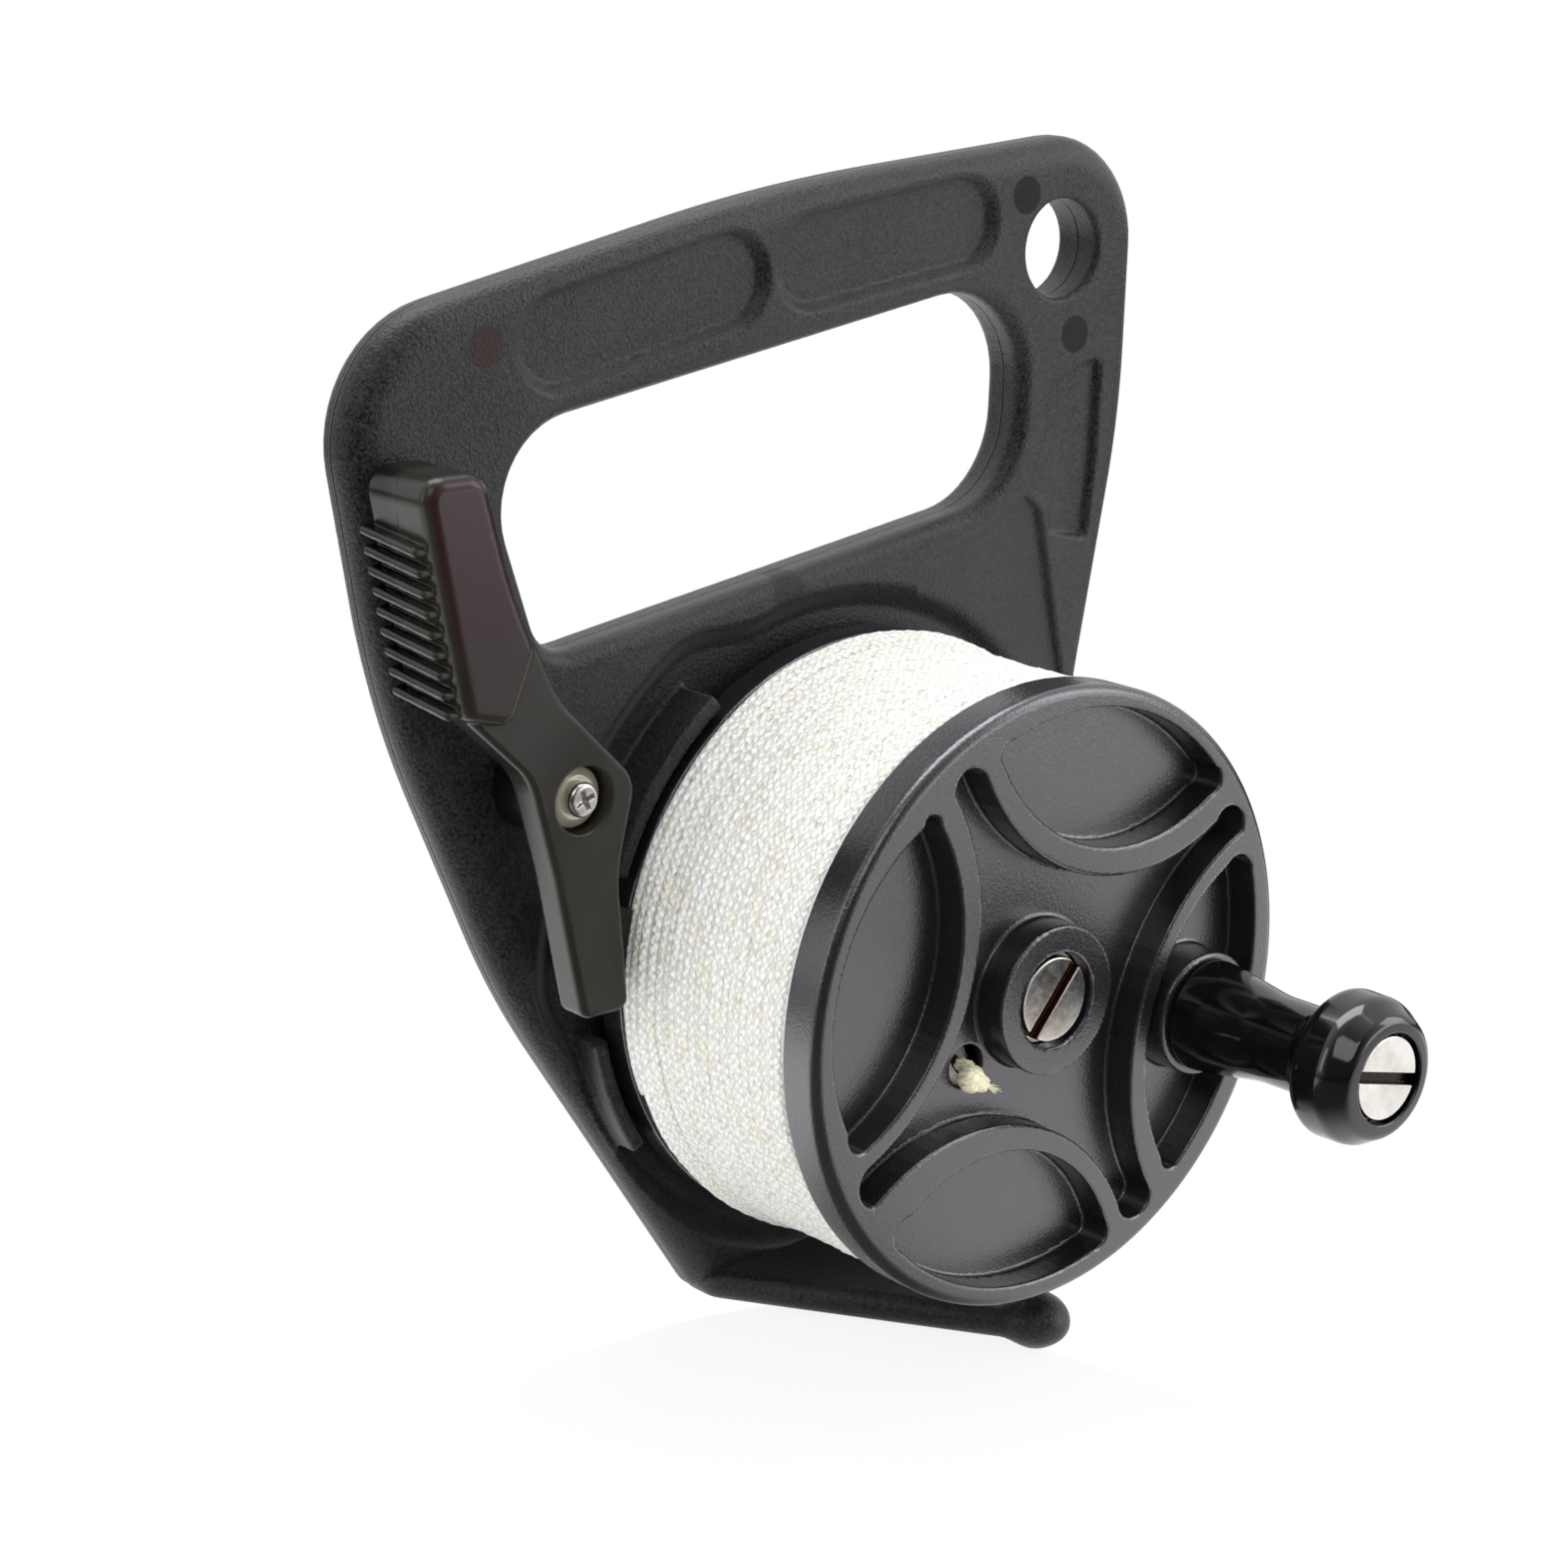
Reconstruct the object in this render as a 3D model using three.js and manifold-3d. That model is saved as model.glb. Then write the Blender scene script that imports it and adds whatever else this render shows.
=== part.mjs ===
import * as THREE from 'three';
import { mergeVertices } from 'three/addons/utils/BufferGeometryUtils.js';
import Module from 'manifold-3d';

const wasm = await Module();
wasm.setup();

// A dive reel: a spool of braided line on a moulded handle frame, with a thumb brake.
// Millimetres. X is to the right, Y runs back through the reel, Z is up. The origin is on the flat
// back of the frame, below the spool's axis, which runs along Y.

// Driving dimensions
const flangeRadius = 43;
const flangeThickness = 5.6;
const frontFlangeThickness = 6.4;
const lineWidth = 33.2;
const plateThickness = 8.4;
const floorThickness = 5.6;
const axisHeight = 30;
const barrelRadius = 14.8;
const lineDiameter = 0.95;
const lineTurns = 23;
const axleRadius = 3;
const knobLength = 31.5;

// Clearances
const seatGap = 0.3;
const turnGap = 0.4;
const rimClearance = 1.2;
const overrun = 2;

// Places along Y, counted from the frame's back
const plateFront = -plateThickness;
const floorFront = -floorThickness;
const thrustBossHeight = 0.6;
const thrustBossFront = floorFront - thrustBossHeight;
const thrustWasherThickness = 1.0;
const rearFlangeBack = thrustBossFront - thrustWasherThickness - 2 * seatGap;
const rearFlangeFront = rearFlangeBack - flangeThickness;
const frontFlangeBack = rearFlangeFront - lineWidth;
const rimFront = frontFlangeBack - frontFlangeThickness;

// Finish of each kind of piece
const finishes = {
  frameNylon: { color: 0x2c2c2e, roughness: 0.62, metalness: 0 },
  leverNylon: { color: 0x35342f, roughness: 0.45, metalness: 0 },
  spoolNylon: { color: 0x2f2e31, roughness: 0.5, metalness: 0 },
  knobGloss: { color: 0x121213, roughness: 0.15, metalness: 0 },
  line: { color: 0xf1efe8, roughness: 0.85, metalness: 0 },
  knotLine: { color: 0xe9e2c4, roughness: 0.9, metalness: 0 },
  nickel: { color: 0xc9c6bd, roughness: 0.28, metalness: 1 },
  steel: { color: 0xa9a8a4, roughness: 0.4, metalness: 1 },
  brass: { color: 0xb08d4a, roughness: 0.4, metalness: 1 },
  acetal: { color: 0xd8cdb2, roughness: 0.6, metalness: 0 },
  rubber: { color: 0x1c1c1c, roughness: 0.9, metalness: 0 },
};

const reel = new THREE.Group();
reel.position.set(0, 0, axisHeight);

// Outlines are drawn in shares of the flange's radius: places as x and z, corners with their radius.
const at = (xShare, zShare) => new THREE.Vector2(xShare, zShare).multiplyScalar(flangeRadius);
const sized = (cornerShares) => cornerShares.map((corner) => corner.map((share) => share * flangeRadius));

const knobOffset = at(0.656, -0.193);
const leverPivot = at(-1.256, 0.721);

// Solids

function enclosedVolume(position, index) {
  const corner = [new THREE.Vector3(), new THREE.Vector3(), new THREE.Vector3()];
  let sum = 0;
  for (let i = 0; i < index.length; i += 3) {
    corner.forEach((v, k) => v.fromBufferAttribute(position, index[i + k]));
    sum += corner[0].dot(corner[1].cross(corner[2]));
  }
  return sum;
}

// A closed three.js geometry becomes a solid that can be joined and cut.
function solid(geometry) {
  const bare = geometry.clone();
  bare.deleteAttribute('normal');
  bare.deleteAttribute('uv');
  const merged = mergeVertices(bare);
  const all = merged.index.array;
  const kept = [];
  for (let i = 0; i < all.length; i += 3) {
    const [a, b, c] = [all[i], all[i + 1], all[i + 2]];
    if (a !== b && b !== c && c !== a) kept.push([a, b, c]);
  }
  if (enclosedVolume(merged.attributes.position, kept.flat()) < 0) kept.forEach((t) => t.reverse());
  return new wasm.Manifold(new wasm.Mesh({
    numProp: 3,
    vertProperties: new Float32Array(merged.attributes.position.array),
    triVerts: new Uint32Array(kept.flat()),
  }));
}

function geometryOf(body) {
  const mesh = body.asOriginal().getMesh();
  const geometry = new THREE.BufferGeometry();
  geometry.setAttribute('position', new THREE.BufferAttribute(new Float32Array(mesh.vertProperties), 3));
  geometry.setIndex(new THREE.BufferAttribute(new Uint32Array(mesh.triVerts), 1));
  geometry.computeVertexNormals();
  return geometry;
}

function place(name, body, finish) {
  const mesh = new THREE.Mesh(geometryOf(body), new THREE.MeshStandardMaterial(finishes[finish]));
  mesh.name = name;
  reel.add(mesh);
}

// A profile of [radius, y] points turned about the Y axis through (x, z).
function turned(profile, sides, x = 0, z = 0) {
  const points = profile.map(([radius, y]) => new THREE.Vector2(radius, y));
  return solid(new THREE.LatheGeometry(points, sides).translate(x, 0, z));
}

function rod(radius, front, back, sides, x = 0, z = 0) {
  return turned([[0, front], [radius, front], [radius, back], [0, back]], sides, x, z);
}

function ring(inner, outer, front, back, sides, x = 0, z = 0) {
  const profile = [[inner, front], [outer, front], [outer, back], [inner, back], [inner, front]];
  return turned(profile, sides, x, z);
}

// An outline drawn in X and Z, carried along Y from front to back, with its edges rounded.
function slab(shape, front, back, rounding = 0, roundSteps = 2, curveSegments = 4) {
  const options = { depth: back - front - 2 * rounding, curveSegments, bevelEnabled: rounding > 0 };
  options.bevelThickness = rounding;
  options.bevelSize = rounding;
  options.bevelOffset = -rounding;
  options.bevelSegments = roundSteps;
  const geometry = new THREE.ExtrudeGeometry(shape, options);
  return solid(geometry.rotateX(Math.PI / 2).translate(0, back - rounding, 0));
}

// A closed outline through corners [x, z, radius], each rounded by an arc.
function roundedOutline(corners, PathType = THREE.Shape) {
  const path = new PathType();
  const count = corners.length;
  corners.forEach(([x, z, radius], i) => {
    const corner = new THREE.Vector2(x, z);
    const [px, pz] = corners[(i + count - 1) % count];
    const [nx, nz] = corners[(i + 1) % count];
    const before = new THREE.Vector2(px, pz).sub(corner);
    const after = new THREE.Vector2(nx, nz).sub(corner);
    const shortest = Math.min(before.length(), after.length()) / 2;
    before.normalize();
    after.normalize();
    const halfAngle = Math.acos(THREE.MathUtils.clamp(before.dot(after), -1, 1)) / 2;
    const reach = Math.min(radius / Math.tan(halfAngle), shortest);
    const arcRadius = reach * Math.tan(halfAngle);
    const start = corner.clone().addScaledVector(before, reach);
    const end = corner.clone().addScaledVector(after, reach);
    const toCentre = before.clone().add(after).normalize();
    const centre = corner.clone().addScaledVector(toCentre, arcRadius / Math.sin(halfAngle));
    const from = Math.atan2(start.y - centre.y, start.x - centre.x);
    const to = Math.atan2(end.y - centre.y, end.x - centre.x);
    if (i === 0) path.moveTo(start.x, start.y);
    else path.lineTo(start.x, start.y);
    path.absarc(centre.x, centre.y, arcRadius, from, to, before.cross(after) > 0);
  });
  path.closePath();
  return path;
}

// A slot outline with round ends, from one end's centre to the other's.
function slotOutline(from, to, radius) {
  const angle = Math.atan2(to.y - from.y, to.x - from.x);
  const shape = new THREE.Shape();
  shape.absarc(to.x, to.y, radius, angle - Math.PI / 2, angle + Math.PI / 2, false);
  shape.absarc(from.x, from.y, radius, angle + Math.PI / 2, angle + 1.5 * Math.PI, false);
  shape.closePath();
  return shape;
}

// A band along an arc about a centre, between two angles in degrees, square at both ends.
function arcBand(centre, radius, width, fromDegrees, toDegrees) {
  const [from, to] = [fromDegrees, toDegrees].map(THREE.MathUtils.degToRad);
  const shape = new THREE.Shape();
  shape.absarc(centre.x, centre.y, radius + width / 2, from, to, false);
  shape.absarc(centre.x, centre.y, radius - width / 2, to, from, true);
  shape.closePath();
  return shape;
}

// The arc through three points: its centre, radius and end angles, turning left.
function arcThrough(a, b, c) {
  const [ab, ac] = [b.clone().sub(a), c.clone().sub(a)];
  const double = 2 * ab.cross(ac);
  const [abSquare, acSquare] = [ab.lengthSq(), ac.lengthSq()];
  const x = (ac.y * abSquare - ab.y * acSquare) / double;
  const y = (ab.x * acSquare - ac.x * abSquare) / double;
  const centre = new THREE.Vector2(a.x + x, a.y + y);
  const angle = (p) => THREE.MathUtils.radToDeg(Math.atan2(p.y - centre.y, p.x - centre.x));
  return { centre, radius: Math.hypot(x, y), from: angle(a), to: angle(c), turnsLeft: double > 0 };
}

function arcPoints(a, b, c, steps) {
  const arc = arcThrough(a, b, c);
  const turn = arc.turnsLeft ? 360 : -360;
  const sweep = (((arc.to - arc.from) * Math.sign(turn) % 360) + 360) % 360 * Math.sign(turn);
  return Array.from({ length: steps + 1 }, (_, i) => {
    const angle = THREE.MathUtils.degToRad(arc.from + sweep * i / steps);
    return new THREE.Vector2(Math.cos(angle), Math.sin(angle)).multiplyScalar(arc.radius).add(arc.centre);
  });
}

// A closed outline of arcs that share their ends: each runs from one point through the next to the
// one after that.
function arcOutline(points, steps) {
  const count = points.length;
  const starts = points.map((_, i) => i).filter((i) => i % 2 === 0);
  return new THREE.Shape(starts.flatMap((i) => {
    const [a, b, c] = [points[i], points[i + 1], points[(i + 2) % count]];
    return arcPoints(a, b, c, a.distanceTo(c) < capSpan ? 2 : steps).slice(0, -1);
  }));
}

// A screw head with a straight slot across its face, and a shank behind it.
function slottedScrew(head, shankRadius, shankBack, slotDegrees, x, z) {
  const { radius, front, thickness, slotWidth, slotDepth, edge } = head;
  const back = front + thickness;
  const body = turned([
    [0, front], [radius - edge, front], [radius, front + edge], [radius, back], [shankRadius, back],
    [shankRadius, shankBack], [0, shankBack],
  ], 24, x, z);
  const slot = new THREE.BoxGeometry(2 * radius + overrun, 2 * slotDepth, slotWidth);
  slot.rotateY(THREE.MathUtils.degToRad(-slotDegrees)).translate(x, front, z);
  return body.subtract(solid(slot));
}

// Handle frame

const edgeRound = 2.6;
const frameShares = [
  [-1.925, 2.13, 0.42],
  [-1.745, 1, 2.8],
  [-1.335, 0, 2.8],
  [-0.565, -1.21, 0.115],
  [0.49, -1.21, 0.115],
  [0.73, -0.84, 0.7],
  [1.01, -0.28, 1.4],
  [1.145, 0.63, 2.8],
  [1.34, 1.535, 2.8],
  [1.38, 2.535, 0.37],
  [-0.23, 2.44, 7],
];
const gripShares = [
  [-1.395, 1.775, 0.28],
  [-1.175, 1.08, 0.14],
  [0.80, 1.335, 0.325],
  [0.835, 2.08, 0.325],
];
const lanyardPlace = at(0.993, 2.142);
const lanyard = { radius: 7.1, lip: 0.8 };
const recess = { margin: 2.4, slope: 2.2 };
const collar = { wall: 2.2, height: 7.4, from: 124, to: 212 };
const bay = { width: 7.8, from: 120, to: 181, round: 1.6 };
// The pad window is wide enough for the pad to swing away with the lever.
const padWindow = { from: 159, to: 189 };
const stadium = { radius: 6.2, depth: 1.6, chamfer: 0.9 };
const stadiumShares = [
  { from: at(-1.10, 2.047), to: at(-0.447, 2.167) },
  { from: at(-0.102, 2.195), to: at(0.535, 2.265) },
];
const ejectorMark = { radius: 2.9, depth: 0.35 };
const ejectorShares = [at(-1.372, 2.06), at(0.819, 2.333), at(1.056, 1.851), at(-0.209, 1.153)];
const legPocketShares = [
  [
    [1.184, 1.758, 0.028], [1.091, 1.74, 0.047], [0.995, 1.688, 0.035], [0.979, 1.535, 0.14],
    [0.893, 1.37, 0.035], [0.949, 1.28, 0.047], [0.965, 1.186, 0.023], [1.13, 1.144, 0.02],
    [1.165, 1.419, 0.5],
  ],
  [
    [0.842, 1.321, 0.02], [0.905, 1.265, 0.04], [1.019, 0.733, 0], [0.372, 0.75, 0],
    [0.372, 1.16, 0.12], [0.6, 1.195, 0.2], [0.75, 1.262, 0.1],
  ],
];
const legPocketDepth = 1.6;
const nutPocket = { radius: 9.4, depth: 2.4 };
const pivotBoreRadius = 1.5;
const springLegRadius = 0.45;
const tongue = { thickness: 4.3, round: 1.6, tipRadius: 5, beadRadius: 4.4, setBack: 2.8 };
const tongueTip = at(0.093, -1.116);
const tongueRoot = { left: at(-0.565, 0).x, right: at(0.49, 0).x };

function tongueOutline() {
  const radius = tongue.tipRadius;
  const tipFront = rimFront + tongue.setBack;
  const tipMiddle = tipFront + radius;
  return roundedOutline([
    [tongueRoot.left, 0, 0],
    [tongueRoot.left, plateFront, radius],
    [tongueTip.x - radius, tipMiddle, radius],
    [tongueTip.x - radius / 2, tipFront, radius],
    [tongueTip.x + radius / 2, tipFront, radius],
    [tongueTip.x + radius, tipMiddle, radius],
    [tongueRoot.right, plateFront, radius],
    [tongueRoot.right, 0, 0],
  ]);
}

function guideTongue() {
  const { thickness, round, tipRadius, beadRadius, setBack } = tongue;
  const options = { depth: thickness - 2 * round, curveSegments: 2, bevelEnabled: true };
  options.bevelThickness = round;
  options.bevelSize = round;
  options.bevelOffset = -round;
  options.bevelSegments = 2;
  const blade = new THREE.ExtrudeGeometry(tongueOutline(), options);
  blade.translate(0, 0, tongueTip.y - thickness + round);
  const bead = new THREE.SphereGeometry(beadRadius, 10, 8);
  bead.translate(tongueTip.x, rimFront + setBack + tipRadius, tongueTip.y - thickness / 2);
  return solid(blade).add(solid(bead));
}

function stadiumPocket({ from, to }) {
  const { radius, depth, chamfer } = stadium;
  const mouth = slotOutline(from, to, radius);
  const floor = slotOutline(from, to, radius - chamfer);
  const front = plateFront - overrun;
  return slab(mouth, front - 2 * chamfer, plateFront + chamfer, chamfer, 1, 3)
    .add(slab(floor, front, plateFront + depth, 0, 0, 3));
}

// The plate with its grip opening and the lanyard hole, whose mouths are flared.
function framePlate() {
  const outline = roundedOutline(sized(frameShares));
  outline.holes.push(roundedOutline(sized(gripShares), THREE.Path));
  const { radius, lip } = lanyard;
  const flared = radius + lip + overrun;
  return slab(outline, plateFront, 0, edgeRound, 2, 3).subtract(turned([
    [0, plateFront - overrun], [flared, plateFront - overrun], [radius, plateFront + lip],
    [radius, -lip], [flared, overrun], [0, overrun],
  ], 24, lanyardPlace.x, lanyardPlace.y));
}

// The sunk floor behind the spool, wider at the left where the lever passes.
function spoolRecess() {
  const radius = flangeRadius + recess.margin;
  const slope = recess.slope / (plateThickness - floorThickness);
  const bowl = turned([
    [0, plateFront - overrun], [radius + recess.slope + overrun * slope, plateFront - overrun],
    [radius, floorFront], [0, floorFront],
  ], 40);
  const middle = flangeRadius + rimClearance + bay.width / 2;
  const band = arcBand(new THREE.Vector2(), middle, bay.width, bay.from, bay.to);
  return bowl.add(slab(band, plateFront - overrun - bay.round, floorFront, bay.round, 1, 5));
}

// The curved wall round the rear rim of the spool, open where the brake pad swings.
function collarWall() {
  const radius = flangeRadius + rimClearance + collar.wall / 2;
  const front = floorFront - collar.height;
  const wall = arcBand(new THREE.Vector2(), radius, collar.wall, collar.from, collar.to);
  const window = arcBand(
    new THREE.Vector2(), radius, collar.wall + overrun, padWindow.from, padWindow.to,
  );
  return slab(wall, front, floorFront / 2, 0, 0, 7)
    .subtract(slab(window, front - overrun, floorFront - seatGap, 0, 0, 3));
}

// A shallow pocket in the leg beside the spool, stopped by the recess.
function legPocket(corners) {
  const floor = plateFront + legPocketDepth;
  const pocket = slab(roundedOutline(sized(corners)), plateFront - overrun, floor, 0, 0, 2);
  const recessEdge = flangeRadius + recess.margin + recess.slope;
  return pocket.subtract(rod(recessEdge, plateFront - 2 * overrun, floor + overrun, 40));
}

function handleFrame() {
  const front = plateFront - overrun;
  let body = framePlate().subtract(spoolRecess()).add(collarWall());
  body = body.add(rod(thrustWasher.outer + seatGap, thrustBossFront, floorFront / 2, 24));
  body = body.subtract(rod(axleRadius + seatGap, front, overrun, 20));
  body = body.subtract(rod(nutPocket.radius, -nutPocket.depth, overrun, 24));
  stadiumShares.forEach((ends) => { body = body.subtract(stadiumPocket(ends)); });
  ejectorShares.forEach((mark) => {
    const back = plateFront + ejectorMark.depth;
    body = body.subtract(rod(ejectorMark.radius, front, back, 12, mark.x, mark.y));
  });
  legPocketShares.forEach((corners) => { body = body.subtract(legPocket(corners)); });
  const { x, y: z } = leverPivot;
  body = body.subtract(rod(pivotBoreRadius + seatGap, front, lever.screwBack + seatGap, 12, x, z));
  const legBack = plateFront + spring.legLength + seatGap;
  body = body.subtract(rod(springLegRadius + seatGap, front, legBack, 8, x + spring.coilRadius, z));
  return body.add(guideTongue());
}

// Axle and its washers

const thrustWasher = { inner: 5.2, outer: 8.4 };
const sleeveRadius = 4.9;
const hubBore = sleeveRadius + seatGap;
const counterbore = { radius: 7, depth: 4 };
const frontWasher = { thickness: 1.0, radius: counterbore.radius - 0.5 };
const axleHead = { radius: 5.9, thickness: 1.9, slotWidth: 1.5, slotDepth: 1.1, edge: 0.3, slotDegrees: 40 };
const nut = { flats: 10, thickness: 4.6, washerRadius: 8.6, washerThickness: 1.2, boltEnd: 0.8 };

const counterboreFloor = rimFront + counterbore.depth;
const frontWasherBack = counterboreFloor - seatGap;
const axleHeadBack = frontWasherBack - frontWasher.thickness - seatGap;
const nutWasherFront = -nutPocket.depth + seatGap;
const nutFront = nutWasherFront + nut.washerThickness + seatGap;

function hexOutline(flats, x, z) {
  const reach = flats / Math.sqrt(3);
  return new THREE.Shape(Array.from({ length: 6 }, (_, i) => {
    const angle = (i + 0.5) * Math.PI / 3;
    return new THREE.Vector2(x + reach * Math.cos(angle), z + reach * Math.sin(angle));
  }));
}

function hexNut(flats, bore, front, back, x = 0, z = 0) {
  const shape = hexOutline(flats, x, z);
  shape.holes.push(new THREE.Path().absarc(x, z, bore, 0, 2 * Math.PI, false));
  return slab(shape, front, back);
}

function axleParts() {
  const head = { ...axleHead, front: axleHeadBack - axleHead.thickness };
  const boltBack = nutFront + nut.thickness + nut.boltEnd;
  place('axle_bolt', slottedScrew(head, axleRadius, boltBack, axleHead.slotDegrees, 0, 0), 'nickel');
  const washerFront = frontWasherBack - frontWasher.thickness;
  const bore = axleRadius + seatGap;
  place('front_washer', ring(bore, frontWasher.radius, washerFront, frontWasherBack, 24), 'nickel');
  const sleeveFront = counterboreFloor;
  place('axle_sleeve', ring(bore, sleeveRadius, sleeveFront, thrustBossFront - seatGap, 20), 'steel');
  const thrustFront = rearFlangeBack + seatGap;
  const thrustBack = thrustFront + thrustWasherThickness;
  place('thrust_washer', ring(thrustWasher.inner, thrustWasher.outer, thrustFront, thrustBack, 20), 'acetal');
  const nutWasherBack = nutWasherFront + nut.washerThickness;
  place('nut_washer', ring(bore, nut.washerRadius, nutWasherFront, nutWasherBack, 24), 'steel');
  place('axle_nut', hexNut(nut.flats, bore, nutFront, nutFront + nut.thickness), 'steel');
}

// Spool

const web = { dish: 0.3, rimWidth: 1.6, rimRound: 1.4 };
const hubBossRadius = 10.4;
const pocketDepth = 4.8;
const lineHoleRadius = 2.9;
const lineHolePlace = at(-0.281, -0.181);
const knobBoss = { radius: 8.8, height: 1.2 };
const hubTube = { radius: 8, splitShare: 0.5 };
const post = { radius: 2.1, offset: 9.6, count: 3 };
const barrelWall = 2.4;
const flangeScrew = { shank: 1.2, head: 2.3, headDepth: 1.7, engage: 9 };
const knobNut = { flats: 8, thickness: 3 };
const knobScrewRadius = 2.5;
const webFront = rimFront + web.dish;
const pocketFloor = rimFront + pocketDepth;

// Pockets in the face, as points of arcs: the star round the hub, and a lens in each of its sides.
const starShares = [
  at(0.828, 0.386), at(0.365, -0.163), at(0.451, -0.763), at(0.386, -0.835), at(0.307, -0.772),
  at(-0.093, -0.393), at(-0.758, -0.484), at(-0.812, -0.433), at(-0.777, -0.353), at(-0.363, 0.116),
  at(-0.442, 0.753), at(-0.386, 0.819), at(-0.319, 0.784), at(0.058, 0.407), at(0.712, 0.442),
  at(0.798, 0.474),
];
const lensShares = [
  [
    at(0.693, 0.628), at(0.407, 0.847), at(-0.2, 0.877), at(-0.247, 0.856), at(-0.24, 0.8),
    at(0.128, 0.479), at(0.679, 0.54), at(0.719, 0.572),
  ],
  [
    at(-0.565, 0.672), at(-0.898, 0.256), at(-0.86, -0.223), at(-0.849, -0.274), at(-0.795, -0.293),
    at(-0.419, 0.186), at(-0.505, 0.67), at(-0.528, 0.705),
  ],
  [
    at(-0.642, -0.663), at(-0.221, -0.905), at(0.2, -0.898), at(0.251, -0.865), at(0.247, -0.814),
    at(-0.093, -0.479), at(-0.605, -0.558), at(-0.67, -0.605),
  ],
  [
    at(0.572, -0.702), at(0.895, -0.116), at(0.881, 0.247), at(0.84, 0.302), at(0.777, 0.284),
    at(0.428, -0.186), at(0.502, -0.66), at(0.533, -0.707),
  ],
];
const capSpan = flangeRadius / 4;

function postPlaces() {
  return Array.from({ length: post.count }, (_, i) => {
    const angle = 2 * Math.PI * (i + 0.25) / post.count;
    return [post.offset * Math.cos(angle), post.offset * Math.sin(angle)];
  });
}

function frontFlange() {
  const split = frontFlangeBack + lineWidth * hubTube.splitShare;
  const rimInner = flangeRadius - web.rimWidth;
  const roundShare = 1 - Math.SQRT1_2;
  let body = turned([
    [hubBore, webFront], [rimInner - web.dish, webFront], [rimInner, rimFront],
    [flangeRadius - web.rimRound, rimFront],
    [flangeRadius - web.rimRound * roundShare, rimFront + web.rimRound * roundShare],
    [flangeRadius, rimFront + web.rimRound], [flangeRadius, frontFlangeBack],
    [hubTube.radius, frontFlangeBack], [hubTube.radius, split], [hubBore, split], [hubBore, webFront],
  ], 46);
  [starShares, ...lensShares].forEach((points) => {
    body = body.subtract(slab(arcOutline(points, 6), rimFront - overrun, pocketFloor));
  });
  body = body.add(turned([
    [hubBore, counterboreFloor], [counterbore.radius, counterboreFloor], [counterbore.radius, rimFront],
    [hubBossRadius, rimFront], [hubBossRadius, frontFlangeBack], [hubBore, frontFlangeBack],
    [hubBore, counterboreFloor],
  ], 36));
  const { x: knobX, y: knobZ } = knobOffset;
  const back = frontFlangeBack + overrun;
  const knobSeat = rimFront - knobBoss.height;
  body = body.add(rod(knobBoss.radius, knobSeat, frontFlangeBack, 24, knobX, knobZ));
  body = body.subtract(rod(knobScrewRadius + seatGap, knobSeat - overrun, back, 14, knobX, knobZ));
  const nutFlats = knobNut.flats + 2 * seatGap;
  const nutSeat = frontFlangeBack - knobNut.thickness - 2 * seatGap;
  body = body.subtract(slab(hexOutline(nutFlats, knobX, knobZ), nutSeat, back));
  const { x: holeX, y: holeZ } = lineHolePlace;
  body = body.subtract(rod(lineHoleRadius, rimFront - overrun, back, 16, holeX, holeZ));
  const threadFront = split - flangeScrew.engage - seatGap;
  postPlaces().forEach(([x, z]) => {
    body = body.add(rod(post.radius, frontFlangeBack - seatGap, split, 10, x, z));
    body = body.subtract(rod(flangeScrew.shank + seatGap, threadFront, split + overrun, 8, x, z));
  });
  return body;
}

function rearFlange() {
  const split = frontFlangeBack + lineWidth * hubTube.splitShare + seatGap;
  let body = turned([
    [hubBore, split], [hubTube.radius, split], [hubTube.radius, rearFlangeFront],
    [flangeRadius, rearFlangeFront], [flangeRadius, rearFlangeBack - web.rimRound],
    [flangeRadius - web.rimRound, rearFlangeBack], [hubBore, rearFlangeBack], [hubBore, split],
  ], 46);
  const headSeat = rearFlangeBack - flangeScrew.headDepth - seatGap;
  const back = rearFlangeBack + overrun;
  postPlaces().forEach(([x, z]) => {
    body = body.add(rod(post.radius, split, rearFlangeFront + seatGap, 10, x, z));
    body = body.subtract(rod(flangeScrew.shank + seatGap, split - overrun, back, 8, x, z));
    body = body.subtract(rod(flangeScrew.head + seatGap, headSeat, back, 12, x, z));
  });
  return body;
}

function spoolParts() {
  place('front_flange', frontFlange(), 'spoolNylon');
  place('rear_flange', rearFlange(), 'spoolNylon');
  const front = frontFlangeBack + seatGap;
  const back = rearFlangeFront - seatGap;
  place('spool_barrel', ring(barrelRadius - barrelWall, barrelRadius, front, back, 32), 'spoolNylon');
  const split = frontFlangeBack + lineWidth * hubTube.splitShare;
  const { shank, head, headDepth, engage } = flangeScrew;
  postPlaces().forEach(([x, z], i) => {
    const screw = {
      radius: head, front: rearFlangeBack - headDepth, thickness: headDepth, edge: seatGap,
    };
    const body = turned([
      [0, split - engage], [shank, split - engage], [shank, screw.front],
      [head, screw.front], [head, rearFlangeBack], [0, rearFlangeBack],
    ], 12, x, z);
    const slot = new THREE.BoxGeometry(2 * head + overrun, headDepth, shank / 2);
    slot.translate(x, rearFlangeBack, z);
    place(`flange_screw_${i + 1}`, body.subtract(solid(slot)), 'steel');
  });
}

// Line

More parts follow.
